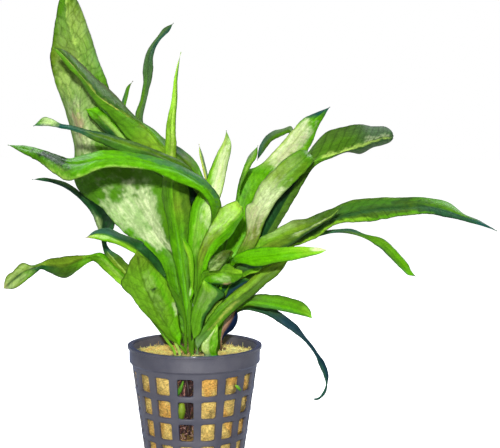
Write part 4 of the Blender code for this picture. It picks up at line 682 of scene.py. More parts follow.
        stops=[(0, "grey", "bright"), (1, "pale", "bright"), (3, "lime", "bright"), (5, "lime", "bright")],
        patches=[(0.4, 3.4, -0.95, -0.05, "silver", 0.9, 0.85), (0.6, 4.0, 0.15, 0.9, "pale", 0.65, 0.95), (0.4, 3.2, -0.6, -0.2, "mid", 0.45, 0.95)],
        sheath=0.9, fibre=0.26, veins=0.35, rib=0.6, wave=0.15, cup=0.10),
    "leaf_bud": dict(
        stops=[(0, "mid", "mid"), (2, "mid", "mid"), (3, "bright", "vivid"), (4, "lime", "lime")],
        patches=[(2.7, 3.4, -0.5, 0.1, "silver", 0.5, 0.4)], veins=0.15, rib=1.0, wave=0.05, cup=0.12),
}

# ---- points in space

_cy, _sy, _cp, _sp = math.cos(YAW), math.sin(YAW), math.cos(PITCH), math.sin(PITCH)
AHEAD = np.array((_sy * _cp, _cy * _cp, -_sp))
_side = np.array((_cy, -_sy, 0.0))
_up = np.cross(_side, AHEAD)
SIDE = math.cos(ROLL) * _side + math.sin(ROLL) * _up
UP = -math.sin(ROLL) * _side + math.cos(ROLL) * _up


def spot(u, v, d):
    ray = AHEAD + SIDE * ((u - 250) / REACH) + UP * ((224 - v) / REACH)
    return EYE + ray * ((-d - EYE[1]) / ray[1])


def placed(u, v, d):
    far = min(1.0, max(0.0, (math.hypot(u - CROWN_U, v - CROWN_V) - FAN_START) / FAN_LENGTH))
    return spot(u, v, FAN_MIDDLE + (d - FAN_MIDDLE) * (1 + FAN * far * far * (3 - 2 * far)))


def unit(v):
    return v / np.maximum(np.linalg.norm(v, axis=-1, keepdims=True), 1e-9)


def step(low, high, x):
    t = np.clip((x - low) / (high - low), 0, 1)
    return t * t * (3 - 2 * t)


def hashed(i, j, seed):
    n = (i * 374761393 + j * 668265263 + seed * 974634777) & 0xFFFFFFFF
    n = ((n ^ (n >> 13)) * 1274126177) & 0xFFFFFFFF
    return ((n ^ (n >> 16)) & 0xFFFFFF) / 16777216.0


def noise(x, y, seed):
    """Smooth noise from -1 to 1."""
    x, y = np.broadcast_arrays(np.asarray(x, float), np.asarray(y, float))
    i, j = np.floor(x).astype(np.int64), np.floor(y).astype(np.int64)
    fx, fy = x - i, y - j
    fx, fy = fx * fx * (3 - 2 * fx), fy * fy * (3 - 2 * fy)
    low = hashed(i, j, seed) * (1 - fx) + hashed(i + 1, j, seed) * fx
    high = hashed(i, j + 1, seed) * (1 - fx) + hashed(i + 1, j + 1, seed) * fx
    return 2 * (low * (1 - fy) + high * fy) - 1


def cells(x, y, seed):
    """How far inside its cell of an irregular net each point lies (0 on the net), and a random number for the cell."""
    i, j = np.floor(x).astype(np.int64), np.floor(y).astype(np.int64)
    near = np.full(x.shape, 9.0)
    next_near = np.full(x.shape, 9.0)
    who = np.zeros(x.shape)
    for a in (-1, 0, 1):
        for b in (-1, 0, 1):
            ci, cj = i + a, j + b
            px = ci + 0.5 + 0.62 * (hashed(ci, cj, seed) - 0.5)
            py = cj + 0.5 + 0.86 * (hashed(ci, cj, seed + 7) - 0.5)
            far = np.hypot(px - x, py - y)
            closer = far < near
            next_near = np.where(closer, near, np.minimum(next_near, far))
            who = np.where(closer, hashed(ci, cj, seed + 13), who)
            near = np.where(closer, far, near)
    return next_near - near, who


def smooth_curve(points, knots, at):
    """A smooth line through the points, which it passes at the knots."""
    p, t = np.asarray(points, float), np.asarray(knots, float)
    h = np.diff(t)
    slope = np.diff(p, axis=0) / h[:, None]
    m = np.empty_like(p)
    m[0], m[-1] = slope[0], slope[-1]
    if len(p) > 2:
        m[1:-1] = (slope[:-1] * h[1:, None] + slope[1:] * h[:-1, None]) / (h[:-1] + h[1:])[:, None]
        size = np.linalg.norm(m[1:-1], axis=1)
        most = 2.0 * np.minimum(np.linalg.norm(slope[:-1], axis=1), np.linalg.norm(slope[1:], axis=1))
        m[1:-1] *= np.minimum(1.0, most / np.maximum(size, 1e-9))[:, None]
    k = np.clip(np.searchsorted(t, at, side="right") - 1, 0, len(t) - 2)
    x = ((at - t[k]) / h[k])[:, None]
    g = h[k][:, None]
    return (
        (2 * x**3 - 3 * x**2 + 1) * p[k] + (x**3 - 2 * x**2 + x) * g * m[k]
        + (3 * x**2 - 2 * x**3) * p[k + 1] + (x**3 - x**2) * g * m[k + 1]
    )


# ---- meshes


def piece(name, points, faces, sharp_deg=None):
    """A new object from points in millimetres."""
    mesh = bpy.data.meshes.new(name)
    mesh.from_pydata((np.asarray(points) * MM).tolist(), [], [tuple(f) for f in faces])
    mesh.polygons.foreach_set("use_smooth", [True] * len(mesh.polygons))
    if sharp_deg is not None:
        mesh.set_sharp_from_angle(angle=math.radians(sharp_deg))
    mesh.update()
    obj = bpy.data.objects.new(name, mesh)
    bpy.context.scene.collection.objects.link(obj)
    return obj


def paint(obj, colours, gloss=None):
    mesh = obj.data
    flat = np.ones((len(mesh.vertices), 4))
    flat[:, :3] = np.clip(colours, 0.0005, 1.0)
    mesh.color_attributes.new(name="tint", type="FLOAT_COLOR", domain="POINT").data.foreach_set("color", flat.ravel())
    if gloss is not None:
        mesh.attributes.new("gloss", "FLOAT", "POINT").data.foreach_set("value", np.asarray(gloss, float).ravel())


def strands(lines, radii, sides):
    """Points and faces of many thin tubes, lines being (tubes, points, 3) and radii (tubes, points)."""
    lines, radii = np.asarray(lines, float), np.asarray(radii, float)
    count, length = lines.shape[:2]
    ahead = unit(np.gradient(lines, axis=1))
    other = np.zeros_like(ahead)
    lean = np.abs(ahead[:, :1, :])
    other[np.arange(count), :, np.argmin(lean[:, 0], axis=1)] = 1.0
    u = unit(np.cross(ahead, other))
    w = np.cross(ahead, u)
    turn = np.arange(sides) * 2 * math.pi / sides
    ring = u[:, :, None, :] * np.cos(turn)[None, None, :, None] + w[:, :, None, :] * np.sin(turn)[None, None, :, None]
    points = lines[:, :, None, :] + ring * radii[:, :, None, None]
    base = (np.arange(count) * length * sides)[:, None, None]
    row = (np.arange(length - 1) * sides)[None, :, None]
    a = np.arange(sides)[None, None, :]
    b = (a + 1) % sides
    quads = np.stack(np.broadcast_arrays(base + row + a, base + row + b, base + row + sides + b, base + row + sides + a), -1).reshape(-1, 4)
    faces = quads.tolist()
    for k in range(count):
        first = k * length * sides
        last = first + (length - 1) * sides
        faces.append([first + sides - 1 - q for q in range(sides)])
        faces.append([last + q for q in range(sides)])
    return points.reshape(-1, 3), faces


def wavy(rng, start, direction, length, points, wander):
    """The points of many wandering lines."""
    start, direction = np.asarray(start, float), unit(np.asarray(direction, float))
    count = len(start)
    lines = np.zeros((count, points, 3))
    lines[:, 0] = start
    way = direction
    for k in range(1, points):
        way = unit(way + rng.normal(0, wander, (count, 3)))
        lines[:, k] = lines[:, k - 1] + way * (length / (points - 1))[:, None]
    return lines


# ---- leaves


def leaf_rows(stations):
    mids = [np.array((s[0], -s[1], CROWN_Z)) if len(s) == 2 else placed(*s[:3]) for s in stations]
    left, right, stalk = [], [], []
    for i, s in enumerate(stations):
        mid = mids[i]
        if len(s) >= 7:
            da, db = (s[7], s[8]) if len(s) == 9 else (0, 0)
            left.append(placed(s[3], s[4], s[2] + da))
            right.append(placed(s[5], s[6], s[2] + db))
            stalk.append(0.0)
            continue
        ahead = unit(mids[min(i + 1, len(mids) - 1)] - mids[max(i - 1, 0)])
        across = np.cross(ahead, unit(mid - EYE))
        across = unit(across) if np.linalg.norm(across) > 1e-3 else np.array((1.0, 0, 0))
        last = i == len(stations) - 1
        half = TIP_HALF if last else STALK_HALF
        left.append(mid - across * half)
        right.append(mid + across * half)
        stalk.append(0.0 if last else 1.0)
    return np.array(mids), np.array(left), np.array(right), np.array(stalk)


def colour_at(stops, at, side):
    table = np.array([GREEN[s[1 + side]] for s in stops])
    where = [s[0] for s in stops]
    return np.stack([np.interp(at, where, table[:, c]) for c in range(3)], -1)


def fine_leaf(name, stations, look, seed):
    mids, left, right, stalk = leaf_rows(stations)
    # the stalk goes on down into the stem
    foot = mids[0] + np.array((0, 0, -2.4)) + 0.15 * (mids[0] - mids[1]) * np.array((1, 1, 0))
    mids = np.vstack((foot, mids))
    spread = look.get("sheath", 0.0)
    if spread:  # the blade's own width goes down into the wool
        left[0] = mids[1] + (left[1] - mids[2]) * spread
        right[0] = mids[1] + (right[1] - mids[2]) * spread
        stalk[0] = 0.0
    left = np.vstack((foot + (left[0] - mids[1]), left))
    right = np.vstack((foot + (right[0] - mids[1]), right))
    stalk = np.concatenate(([0.0 if spread else 1.0], stalk))
    chord = np.maximum(np.linalg.norm(np.diff(mids, axis=0), axis=1), 0.4)
    knots = np.concatenate(([0.0], np.cumsum(chord)))
    reach = np.maximum(chord, np.maximum(np.linalg.norm(np.diff(left, axis=0), axis=1), np.linalg.norm(np.diff(right, axis=0), axis=1)))
    at, index = [], []
    for k, long in enumerate(reach):
        fine = 0.45 if stalk[k] < 0.5 or stalk[k + 1] < 0.5 else 1.1
        count = max(2, int(math.ceil(long / fine)))
        share = np.arange(count) / count
        at.append(knots[k] + share * chord[k])
        index.append(k - 1 + share)
    at = np.concatenate(at + [[knots[-1]]])
    index = np.concatenate(index + [[len(mids) - 2.0]])
    mid = smooth_curve(mids, knots, at)
    a = smooth_curve(left, knots, at)
    b = smooth_curve(right, knots, at)
    whole = np.interp(at, knots, stalk)
    stalky = step(0.15, 0.85, whole)
    along = np.concatenate(([0.0], np.cumsum(np.linalg.norm(np.diff(mid, axis=0), axis=1))))
    half_a, half_b = np.linalg.norm(a - mid, axis=1), np.linalg.norm(b - mid, axis=1)

    for r0, r1, side, more in look.get("grow", ()):
        share = (more * step(r0 - 0.7, r0 + 0.4, index) * (1 - step(r1 - 0.4, r1 + 0.7, index)))[:, None]
        if side < 0:
            a = a + unit(a - mid) * share
        else:
            b = b + unit(b - mid) * share
    half_a, half_b = np.linalg.norm(a - mid, axis=1), np.linalg.norm(b - mid, axis=1)

    # a slightly uneven edge
    uneven = (1 - stalky) * np.minimum(1, np.minimum(half_a, half_b) / 2.5)
    a = a + unit(a - mid) * (uneven * (0.20 * noise(along / 2.3, 0.5, seed + 1) + 0.10 * noise(along / 0.9, 0.5, seed + 2)))[:, None]
    b = b + unit(b - mid) * (uneven * (0.20 * noise(along / 2.3, 0.5, seed + 3) + 0.10 * noise(along / 0.9, 0.5, seed + 4)))[:, None]

    widest = max(half_a.max(), half_b.max())
    arms = int(min(24, max(5, math.ceil(widest / 0.45))))
    s = np.linspace(-1, 1, 2 * arms + 1)
    # rows down, columns across
    S = s[None, :]
    odd, even = (b - a) / 2, (a + b) / 2 - mid
    soft = 0.16
    bend = (np.sqrt(S * S + soft * soft) - soft) / (math.sqrt(1 + soft * soft) - soft)
    surface = mid[:, None, :] + odd[:, None, :] * S[:, :, None] + even[:, None, :] * bend[:, :, None]

    ahead = unit(np.gradient(mid, axis=0))
    normal = np.cross(b - a, ahead)
    size = np.linalg.norm(normal, axis=1, keepdims=True)
    normal = normal / np.maximum(size, 1e-6)
    first = int(np.argmax(stalky < 0.5))
    facing = -1.0 if np.dot(normal[min(first + 2, len(normal) - 1)], unit(mid[first] - EYE)) > 0 else 1.0
    normal = normal * facing
    for _ in range(4):  # evens out the turn of the normals from row to row
        normal[1:-1] = unit(normal[1:-1] * 2 + normal[:-2] + normal[2:])

    x = np.where(S < 0, S * half_a[:, None], S * half_b[:, None])
    half = np.where(S < 0, half_a[:, None], half_b[:, None]) + 0 * x
    A = along[:, None] + 0 * x
    blade = (1 - stalky)[:, None] * step(0.6, 2.2, half)
    cell = float(np.clip(widest / 2.5, 1.5, 4.1))
    forward = A - 0.72 * np.abs(x)
    inside, who = cells(forward / (cell * 1.12) + np.where(x < 0, 0.0, 31.5), x / cell + 0.15 * noise(A / 5, x / 5, seed + 5) + 50.0, seed)
    pillow = step(0.0, 0.42, inside)
    net = np.exp(-((inside / look.get("line", 0.13)) ** 2))
    gap = look.get("gap", cell * 2.24)
    laterals = np.exp(-(((((forward + 0.5 * noise(A / 4, x / 3, seed + 24)) / gap) % 1.0 - 0.5) * gap / 0.24) ** 2)) * step(0.4, 1.2, np.abs(x))
    net = np.maximum(net * look.get("cells", 1.0), look.get("lateral", 0.7) * laterals)
    pillow = 0.5 + (pillow - 0.5) * look.get("cells", 1.0)
    for r0, r1, keep in look.get("plain", ()):  # where the net hardly shows
        I0 = index[:, None] + 0.35 * noise(A / 4.0, x / 4.0, seed + 30)
        calm = (1 - keep) * step(r0 - 0.4, r0 + 0.4, I0) * (1 - step(r1 - 0.4, r1 + 0.4, I0))
        net = net * (1 - calm)
        pillow = 0.5 + (pillow - 0.5) * (1 - calm)
    veins = look["veins"]
    groove = np.exp(-((x / 0.50) ** 2))
    edge = np.abs(S) + 0 * x
    relief = blade * (
        -0.24 * groove
        + look["cup"] * half * 4 * edge * (1 - edge)
        + 0.24 * veins * (pillow - 0.5) * (1 - groove) * step(1.0, 0.82, edge)
        + look["wave"] * edge**2 * (noise(A / 6.5, np.sign(x) * 3 + 0.5, seed + 6) + 0.35 * noise(A / 2.8, np.sign(x) * 3 + 0.5, seed + 8))
        + 0.22 * noise(A / 7.0, x / 5.0, seed + 9)
    )
    blade_thick = 0.36 * np.sqrt(np.clip(1 - edge**6, 0, 1)) + 0.20 * groove
    stalk_thick = 0.88 * np.sqrt(np.clip(1 - edge**2, 0, 1))
    tip = step(0, 2.5, (at[-1] - at))[:, None]
    thick = blade_thick * (1 - stalky)[:, None] * (0.35 + 0.65 * tip) + stalk_thick * stalky[:, None]
    # thinner where the leaf is narrow, so that no rim is thicker than it is wide
    thick = np.minimum(thick, 2 * half * np.sqrt(np.clip(1 - edge**2, 0, 1)) + 0.02)
    N = normal[:, None, :]
    top = surface + N * (relief + thick / 2)[:, :, None]
    back = surface + N * (relief - thick / 2)[:, :, None]
    rows, cols = x.shape
    ring = np.concatenate((top, back[:, -2:0:-1]), axis=1)
    around = ring.shape[1]
    points = ring.reshape(-1, 3)
    k = np.arange(rows - 1)[:, None] * around
    j = np.arange(around)[None, :]
    n = (j + 1) % around
    quads = np.stack(np.broadcast_arrays(k + j, k + n, k + around + n, k + around + j), -1).reshape(-1, 4)
    start_cap, end_cap = np.arange(around)[::-1], np.arange(around) + (rows - 1) * around
    if facing < 0:
        quads, start_cap, end_cap = quads[:, ::-1], start_cap[::-1], end_cap[::-1]
    obj = piece(name, points, quads.tolist() + [start_cap.tolist(), end_cap.tolist()])

    # colours
    I = index[:, None] + 0 * x
    lobe = step(-0.14, 0.14, S + 0.03 * noise(A / 3, 0.5, seed + 10))
    tint = colour_at(look["stops"], I, 0) * (1 - lobe)[:, :, None] + colour_at(look["stops"], I, 1) * lobe[:, :, None]
    tint = tint * (1 + 0.14 * noise(A / 9, x / 6, seed + 11) + 0.10 * noise(A / 1.7, x / 1.5, seed + 12) + 0.16 * (who - 0.5))[:, :, None]
    along_fibre = noise(A / 6.0, x / 0.42, seed + 21) + 0.6 * noise(A / 3.0, x / 0.22, seed + 22)
    tint = tint * (1 + look.get("fibre", 0.16) * along_fibre * blade)[:, :, None]
    gloss = np.zeros(x.shape)
    shade = 1 - np.clip(0.50 * veins * net + 0.10 * (1 - pillow) * veins, 0, 0.7) * blade
    for r0, r1, s0, s1, colour, strength, mottle in look["patches"]:
        soft_r, soft_s = 0.13 * (r1 - r0) + 0.05, 0.07 + 0.06 * (s1 - s0)
        wander = 1.3 * soft_r * (noise(x / 2.4, A / 3.0, seed + 14) + 0.6 * noise(x / 0.9, A / 1.1, seed + 18))
        inside_r = step(r0 - soft_r, r0 + soft_r, I + wander) * (1 - step(r1 - soft_r, r1 + soft_r, I + wander))
        low = 1.0 if s0 <= -0.99 else step(s0 - soft_s, s0 + soft_s, S + 0.12 * noise(A / 2.5, 0.5, seed + 15) + 0.07 * noise(A / 0.9, x / 0.9, seed + 19))
        high = 1.0 if s1 >= 0.99 else 1 - step(s1 - soft_s, s1 + soft_s, S + 0.12 * noise(A / 2.5, 4.5, seed + 15) + 0.07 * noise(A / 0.9, x / 0.9, seed + 20))
        speckle = np.clip(0.50 + 0.55 * (who - 0.5) + 0.55 * noise(A / 3.4 + x / 3.0, x / 0.55, seed + 16) + 0.45 * noise(A / 1.1, x / 0.4, seed + 17) - 0.35 * veins * net, 0, 1)
        mask = np.clip(strength * inside_r * low * high * ((1 - mottle) + mottle * speckle), 0, 1)
        tint = tint * (1 - mask)[:, :, None] + np.array(GREEN[colour]) * mask[:, :, None]
        # silver and pale patches are mostly painted sheen, and there the blade is also made a little glossier
        if colour in ("silver", "pale"):
            gloss = np.maximum(gloss, mask)
    tint = tint * shade[:, :, None]
    rib = look["rib"]
    line = np.exp(-((x / 0.42) ** 2)) * blade
    tint = tint * (1 + (rib - 1) * 0.9 * line)[:, :, None]
    rim = np.exp(-(((1 - edge) * half / 0.35) ** 2)) * blade
    tint = tint * (1 - 0.5 * rim)[:, :, None]
    behind = tint[:, -2:0:-1] * 0.80 + np.array((0.010, 0.022, 0.003))
    paint(obj, np.concatenate((tint, behind), axis=1).reshape(-1, 3), np.concatenate((gloss, gloss[:, -2:0:-1] * 0.5), axis=1))
    return obj


# ---- materials


def new_material(name):
    made = bpy.data.materials.new(name)
    made.use_nodes = True
    tree = made.node_tree
    return made, tree, tree.nodes["Principled BSDF"]


def add(tree, kind, settings=(), **inputs):
    made = tree.nodes.new(kind)
    for key, value in dict(settings).items():
        setattr(made, key, value)
    for key, value in inputs.items():
        socket = made.inputs[key.replace("_", " ")]
        if isinstance(value, bpy.types.NodeSocket):
            tree.links.new(value, socket)
        else:
            socket.default_value = value
    return made


def mixed(tree, share, a, b, blend="MIX"):
    made = tree.nodes.new("ShaderNodeMix")
    made.data_type, made.blend_type = "RGBA", blend
    for value, socket in ((share, made.inputs[0]), (a, made.inputs[6]), (b, made.inputs[7])):
        if isinstance(value, bpy.types.NodeSocket):
            tree.links.new(value, socket)
        elif isinstance(value, (int, float)):
            socket.default_value = value
        else:
            socket.default_value = (*value, 1.0)
    return made.outputs[2]


def ranged(tree, value, low, high, to_low, to_high):
    return add(tree, "ShaderNodeMapRange", Value=value, From_Min=low, From_Max=high, To_Min=to_low, To_Max=to_high).outputs["Result"]


def texture(tree, coords, scale, detail=3.0, rough=0.55):
    return add(tree, "ShaderNodeTexNoise", Vector=coords, Scale=scale, Detail=detail, Roughness=rough).outputs["Fac"]


def bumped(tree, shader, height, distance, strength=1.0):
    made = add(tree, "ShaderNodeBump", Height=height, Distance=distance, Strength=strength)
    tree.links.new(made.outputs["Normal"], shader.inputs["Normal"])


def leaf_material(name, rough_low, rough_high, specular):
    made, tree, shader = new_material(name)
    coords = add(tree, "ShaderNodeTexCoord").outputs["Object"]
    tint = add(tree, "ShaderNodeAttribute", {"attribute_name": "tint"}).outputs["Color"]
    gloss = add(tree, "ShaderNodeAttribute", {"attribute_name": "gloss"}).outputs["Fac"]
    grain = texture(tree, coords, 2600.0, 4.0)
    patchy = texture(tree, coords, 420.0, 3.0)
    colour = mixed(tree, 1.0, tint, mixed(tree, ranged(tree, grain, 0.3, 0.7, 0, 1), (0.80, 0.80, 0.80), (1.16, 1.16, 1.10)), "MULTIPLY")
    colour = mixed(tree, ranged(tree, patchy, 0.42, 0.68, 0, 0.30), colour, mixed(tree, 1.0, colour, (0.72, 0.86, 0.62), "MULTIPLY"))
    tree.links.new(colour, shader.inputs["Base Color"])
    rough = add(tree, "ShaderNodeMath", {"operation": "SUBTRACT"})
    tree.links.new(ranged(tree, patchy, 0.3, 0.7, rough_low, rough_high), rough.inputs[0])
    tree.links.new(ranged(tree, gloss, 0.0, 1.0, 0.0, 0.06), rough.inputs[1])
    tree.links.new(rough.outputs[0], shader.inputs["Roughness"])
    shader.inputs["Specular IOR Level"].default_value = specular * 0.20
    bumped(tree, shader, texture(tree, coords, 1500.0, 5.0, 0.6), 0.00022, 0.55)
    return made


def plastic_material(name):
    made, tree, shader = new_material(name)
    coords = add(tree, "ShaderNodeTexCoord").outputs["Object"]
    broad = texture(tree, coords, 90.0, 3.0)
    fine = texture(tree, coords, 1800.0, 4.0)
    colour = mixed(tree, ranged(tree, broad, 0.35, 0.65, 0, 1), (0.062, 0.062, 0.086), (0.098, 0.096, 0.118))
    colour = mixed(tree, ranged(tree, fine, 0.62, 0.78, 0, 0.5), colour, (0.17, 0.17, 0.20))
    tree.links.new(colour, shader.inputs["Base Color"])
    height = add(tree, "ShaderNodeSeparateXYZ", Vector=coords).outputs["Z"]
    worn = ranged(tree, height, 0.0503, 0.0508, 0.0, 0.26)
    rough = add(tree, "ShaderNodeMath", {"operation": "SUBTRACT"})
    tree.links.new(ranged(tree, fine, 0.3, 0.7, 0.34, 0.50), rough.inputs[0])
    tree.links.new(worn, rough.inputs[1])
    tree.links.new(rough.outputs[0], shader.inputs["Roughness"])
    shader.inputs["Sheen Weight"].default_value = 0.09
    shader.inputs["Sheen Roughness"].default_value = 0.36
    shader.inputs["Sheen Tint"].default_value = (0.0, 0.16, 0.9, 1.0)
    bumped(tree, shader, fine, 0.00012, 0.5)
    return made


def wool_material(name):
    made, tree, shader = new_material(name)
    coords = add(tree, "ShaderNodeTexCoord").outputs["Object"]
    tint = add(tree, "ShaderNodeAttribute", {"attribute_name": "tint"}).outputs["Color"]
    # fine strands of the wool, drawn out sideways
    stretched = add(tree, "ShaderNodeMapping", Vector=coords, Scale=(1.0, 1.0, 1.7)).outputs["Vector"]
    strand = texture(tree, stretched, 1250.0, 6.0, 0.75)
    broad = texture(tree, coords, 210.0, 4.0)
    colour = mixed(tree, 1.0, tint, mixed(tree, ranged(tree, strand, 0.34, 0.66, 0, 1), (0.34, 0.27, 0.16), (1.35, 1.34, 1.30)), "MULTIPLY")
    colour = mixed(tree, ranged(tree, broad, 0.56, 0.74, 0, 0.4), colour, (0.52, 0.27, 0.04))
    tree.links.new(colour, shader.inputs["Base Color"])
    tree.links.new(ranged(tree, strand, 0.3, 0.7, 0.75, 0.95), shader.inputs["Roughness"])
    bumped(tree, shader, strand, 0.0007, 0.9)
    return made


def rough_material(name, low, high, scale, rough, depth):
    """Colour from the tint attribute, broken up by a dark and a light share."""
    made, tree, shader = new_material(name)
    coords = add(tree, "ShaderNodeTexCoord").outputs["Object"]
    tint = add(tree, "ShaderNodeAttribute", {"attribute_name": "tint"}).outputs["Color"]
    grain = texture(tree, coords, scale, 5.0, 0.65)
    colour = mixed(tree, 1.0, tint, mixed(tree, ranged(tree, grain, 0.3, 0.7, 0, 1), low, high), "MULTIPLY")
    tree.links.new(colour, shader.inputs["Base Color"])
    tree.links.new(ranged(tree, grain, 0.3, 0.7, rough - 0.12, rough + 0.12), shader.inputs["Roughness"])
    bumped(tree, shader, grain, depth, 0.8)
    return made


# ---- pot

POT_HEIGHT, LIP_RADIUS, BAND_RADIUS, BAND_FOOT_Z, CHAMFER_FOOT_Z, WALL = 51.5, 25.1, 23.95, 45.4, 44.3, 1.0
ROW_TOP_Z, ROW_PITCH, WINDOW_HEIGHT, ROWS, FIRST_EDGE_DEG = 42.95, 8.378, 6.55, 5, 6.0


def wall_radius(z):
    return 16.71 + 0.14 * z


def in_window(deg, z, by=0.0):
    """Whether a place on the wall lies in a window, by more than a margin."""
    turn = np.mod(deg - FIRST_EDGE_DEG, 22.5)
    reach = by / 20.0 * 57.3
    ok = (turn > reach) & (turn < 15.0 - reach)
    k = np.floor((ROW_TOP_Z - z) / ROW_PITCH)
    low = ROW_TOP_Z - k * ROW_PITCH - WINDOW_HEIGHT
    return ok & (k >= 0) & (k < ROWS) & (z > low + by) & (z < ROW_TOP_Z - k * ROW_PITCH - by)


def net_pot():
    count = 144
    profile = [(LIP_RADIUS, POT_HEIGHT - WALL / 2), (24.5, POT_HEIGHT - WALL / 2), (BAND_RADIUS, POT_HEIGHT - WALL / 2), (BAND_RADIUS, 49.2),
               (BAND_RADIUS - 0.04, BAND_FOOT_Z + 0.35), (wall_radius(44.9) + 0.12, BAND_FOOT_Z - 0.45), (wall_radius(CHAMFER_FOOT_Z), CHAMFER_FOOT_Z)]
    kinds = ["wall"] * 6
    corner = 0.38
    for k in range(ROWS):
        high = ROW_TOP_Z - k * ROW_PITCH
        low = high - WINDOW_HEIGHT
        rows = [(high, "wall"), (high - corner, "top"), ((high + low) / 2, "open"), (low + corner, "open"), (low, "foot")]
        for z, kind in rows:
            profile.append((wall_radius(z), z))
            kinds.append(kind)
        if k < ROWS - 1:
            ring = low - (ROW_PITCH - WINDOW_HEIGHT) / 2
            profile.append((wall_radius(ring) + 0.14, ring))
            kinds.append("wall")
    for r, z in ((wall_radius(2.0), 2.0), (wall_radius(0.5), WALL / 2), (11.0, WALL / 2), (4.0, WALL / 2)):
        profile.append((r, z))
        kinds.append("wall")
    angles = np.radians(FIRST_EDGE_DEG + np.arange(count) * 360 / count)
    points = [(r * math.sin(t), -r * math.cos(t), z) for r, z in profile for t in angles]
    points.append((0, 0, WALL / 2))
    faces = []
    for k, kind in enumerate(kinds):
        for j in range(count):
            n = (j + 1) % count
            a, b, c, d = k * count + j, k * count + n, (k + 1) * count + n, (k + 1) * count + j
            place = j % 9
            if kind == "wall" or place >= 6:
                faces.append((a, d, c, b))
            elif kind == "top" and place == 0:
                faces.append((a, d, b))
            elif kind == "top" and place == 5:
                faces.append((a, c, b))
            elif kind == "foot" and place == 0:
                faces.append((a, d, c))
            elif kind == "foot" and place == 5:
                faces.append((b, d, c))
    last = (len(profile) - 1) * count
    faces += [(last + (j + 1) % count, last + j, len(points) - 1) for j in range(count)]
    obj = piece("net_pot", points, faces)
    shell = obj.modifiers.new("wall", "SOLIDIFY")
    shell.thickness, shell.offset, shell.use_even_offset = WALL * MM, 0, True
    edge = obj.modifiers.new("edge", "BEVEL")
    edge.width, edge.segments, edge.limit_method, edge.angle_limit = 0.16 * MM, 2, "ANGLE", math.radians(48)
    edge.use_clamp_overlap = True
    return applied(obj, 24)


def applied(obj, sharp_deg=None):
    graph = bpy.context.evaluated_depsgraph_get()
    mesh = bpy.data.meshes.new_from_object(obj.evaluated_get(graph))
    obj.modifiers.clear()
    old = obj.data
    obj.data = mesh
    bpy.data.meshes.remove(old)
    if sharp_deg is not None:
        mesh.polygons.foreach_set("use_smooth", [True] * len(mesh.polygons))
        mesh.set_sharp_from_angle(angle=math.radians(sharp_deg))
    mesh.update()
    return obj


# ---- wool

WOOL_TAN = np.array((0.86, 0.64, 0.19))
WOOL_ORANGE = np.array((0.84, 0.42, 0.07))
WOOL_DARK = np.array((0.13, 0.10, 0.035))


def wool_top(x, y):
    lump = 0.35 * np.sin(0.9 * x + 1.1) * np.cos(0.8 * y - 0.4)
    return 48.8 - 0.065 * y + lump - 0.0006 * (x * x + y * y)


def wool_side(deg, z):
    """The wool's radius at a place on its side: it swells a little into the windows and is hollow behind the roots."""
    swell = np.where(in_window(deg, z, 0.9), 0.55, np.where(in_window(deg, z, 0.35), 0.25, 0.0))
    lumps = 0.16 * noise(deg / 5.0, z / 1.7, 61) + 0.09 * noise(deg / 1.9, z / 0.7, 62)
    r = wall_radius(z) - 0.95 + swell + lumps
    gap = step(-20.5, -18.0, deg) * (1 - step(-1.5, 0.8, deg)) * step(18.0, 20.5, z)
    r = r * (1 - gap) + np.minimum(r, 14.9 / np.cos(np.radians(deg)) + 0.25 * noise(deg / 3.0, z / 1.5, 63)) * gap
    nook = step(24.5, 26.5, deg) * (1 - step(35.0, 37.5, deg)) * step(35.0, 36.5, z) * (1 - step(40.5, 42.0, z))
    return r - 3.4 * nook


def wool_plug():
    count = 216
    deg = np.arange(count) * 360 / count - 180
    turn = np.radians(deg)
    points, start = [], []
    for r in np.arange(0.9, 21.8, 0.9):
        x, y = r * np.sin(turn), -r * np.cos(turn)
        z = wool_top(x, y) + 0.45 * noise(x / 1.9, y / 1.9, 64) + 0.28 * noise(x / 0.7, y / 0.7, 65)
        hollow = step(-8.0, -6.8, x) * (1 - step(-0.6, 0.6, x)) * step(15.5, 17.0, -y)
        z = z - 2.2 * hollow
        points.append(np.stack((x, y, z), -1))
    x, y = 22.3 * np.sin(turn), -22.3 * np.cos(turn)
    points.append(np.stack((x, y, wool_top(x, y) - 0.35 + 0.35 * noise(deg / 3, 0.5, 66)), -1))
    for z, r in ((46.0, 22.4), (45.1, 22.2), (44.3, 22.0)):
        r = r + 0.1 * noise(deg / 3, z, 67)
        points.append(np.stack((r * np.sin(turn), -r * np.cos(turn), z + 0 * turn), -1))
    for z in np.arange(43.6, 1.5, -0.7):
        zz = np.full(count, z)
        r = wool_side(deg, zz)
        points.append(np.stack((r * np.sin(turn), -r * np.cos(turn), zz), -1))
    rows = len(points)
    points = np.concatenate(points + [[(0, 0, float(wool_top(np.array(0.0), np.array(0.0))))], [(0, 0, 1.6)]])
    faces = []
    for k in range(rows - 1):
        for j in range(count):
            n = (j + 1) % count
            faces.append((k * count + j, (k + 1) * count + j, (k + 1) * count + n, k * count + n))
    top, foot = rows * count, rows * count + 1
    faces += [(j, (j + 1) % count, top) for j in range(count)]
    last = (rows - 1) * count
    faces += [(last + (j + 1) % count, last + j, foot) for j in range(count)]
    obj = piece("wool_plug", points, faces)
    paint(obj, wool_colour(points))
    return obj


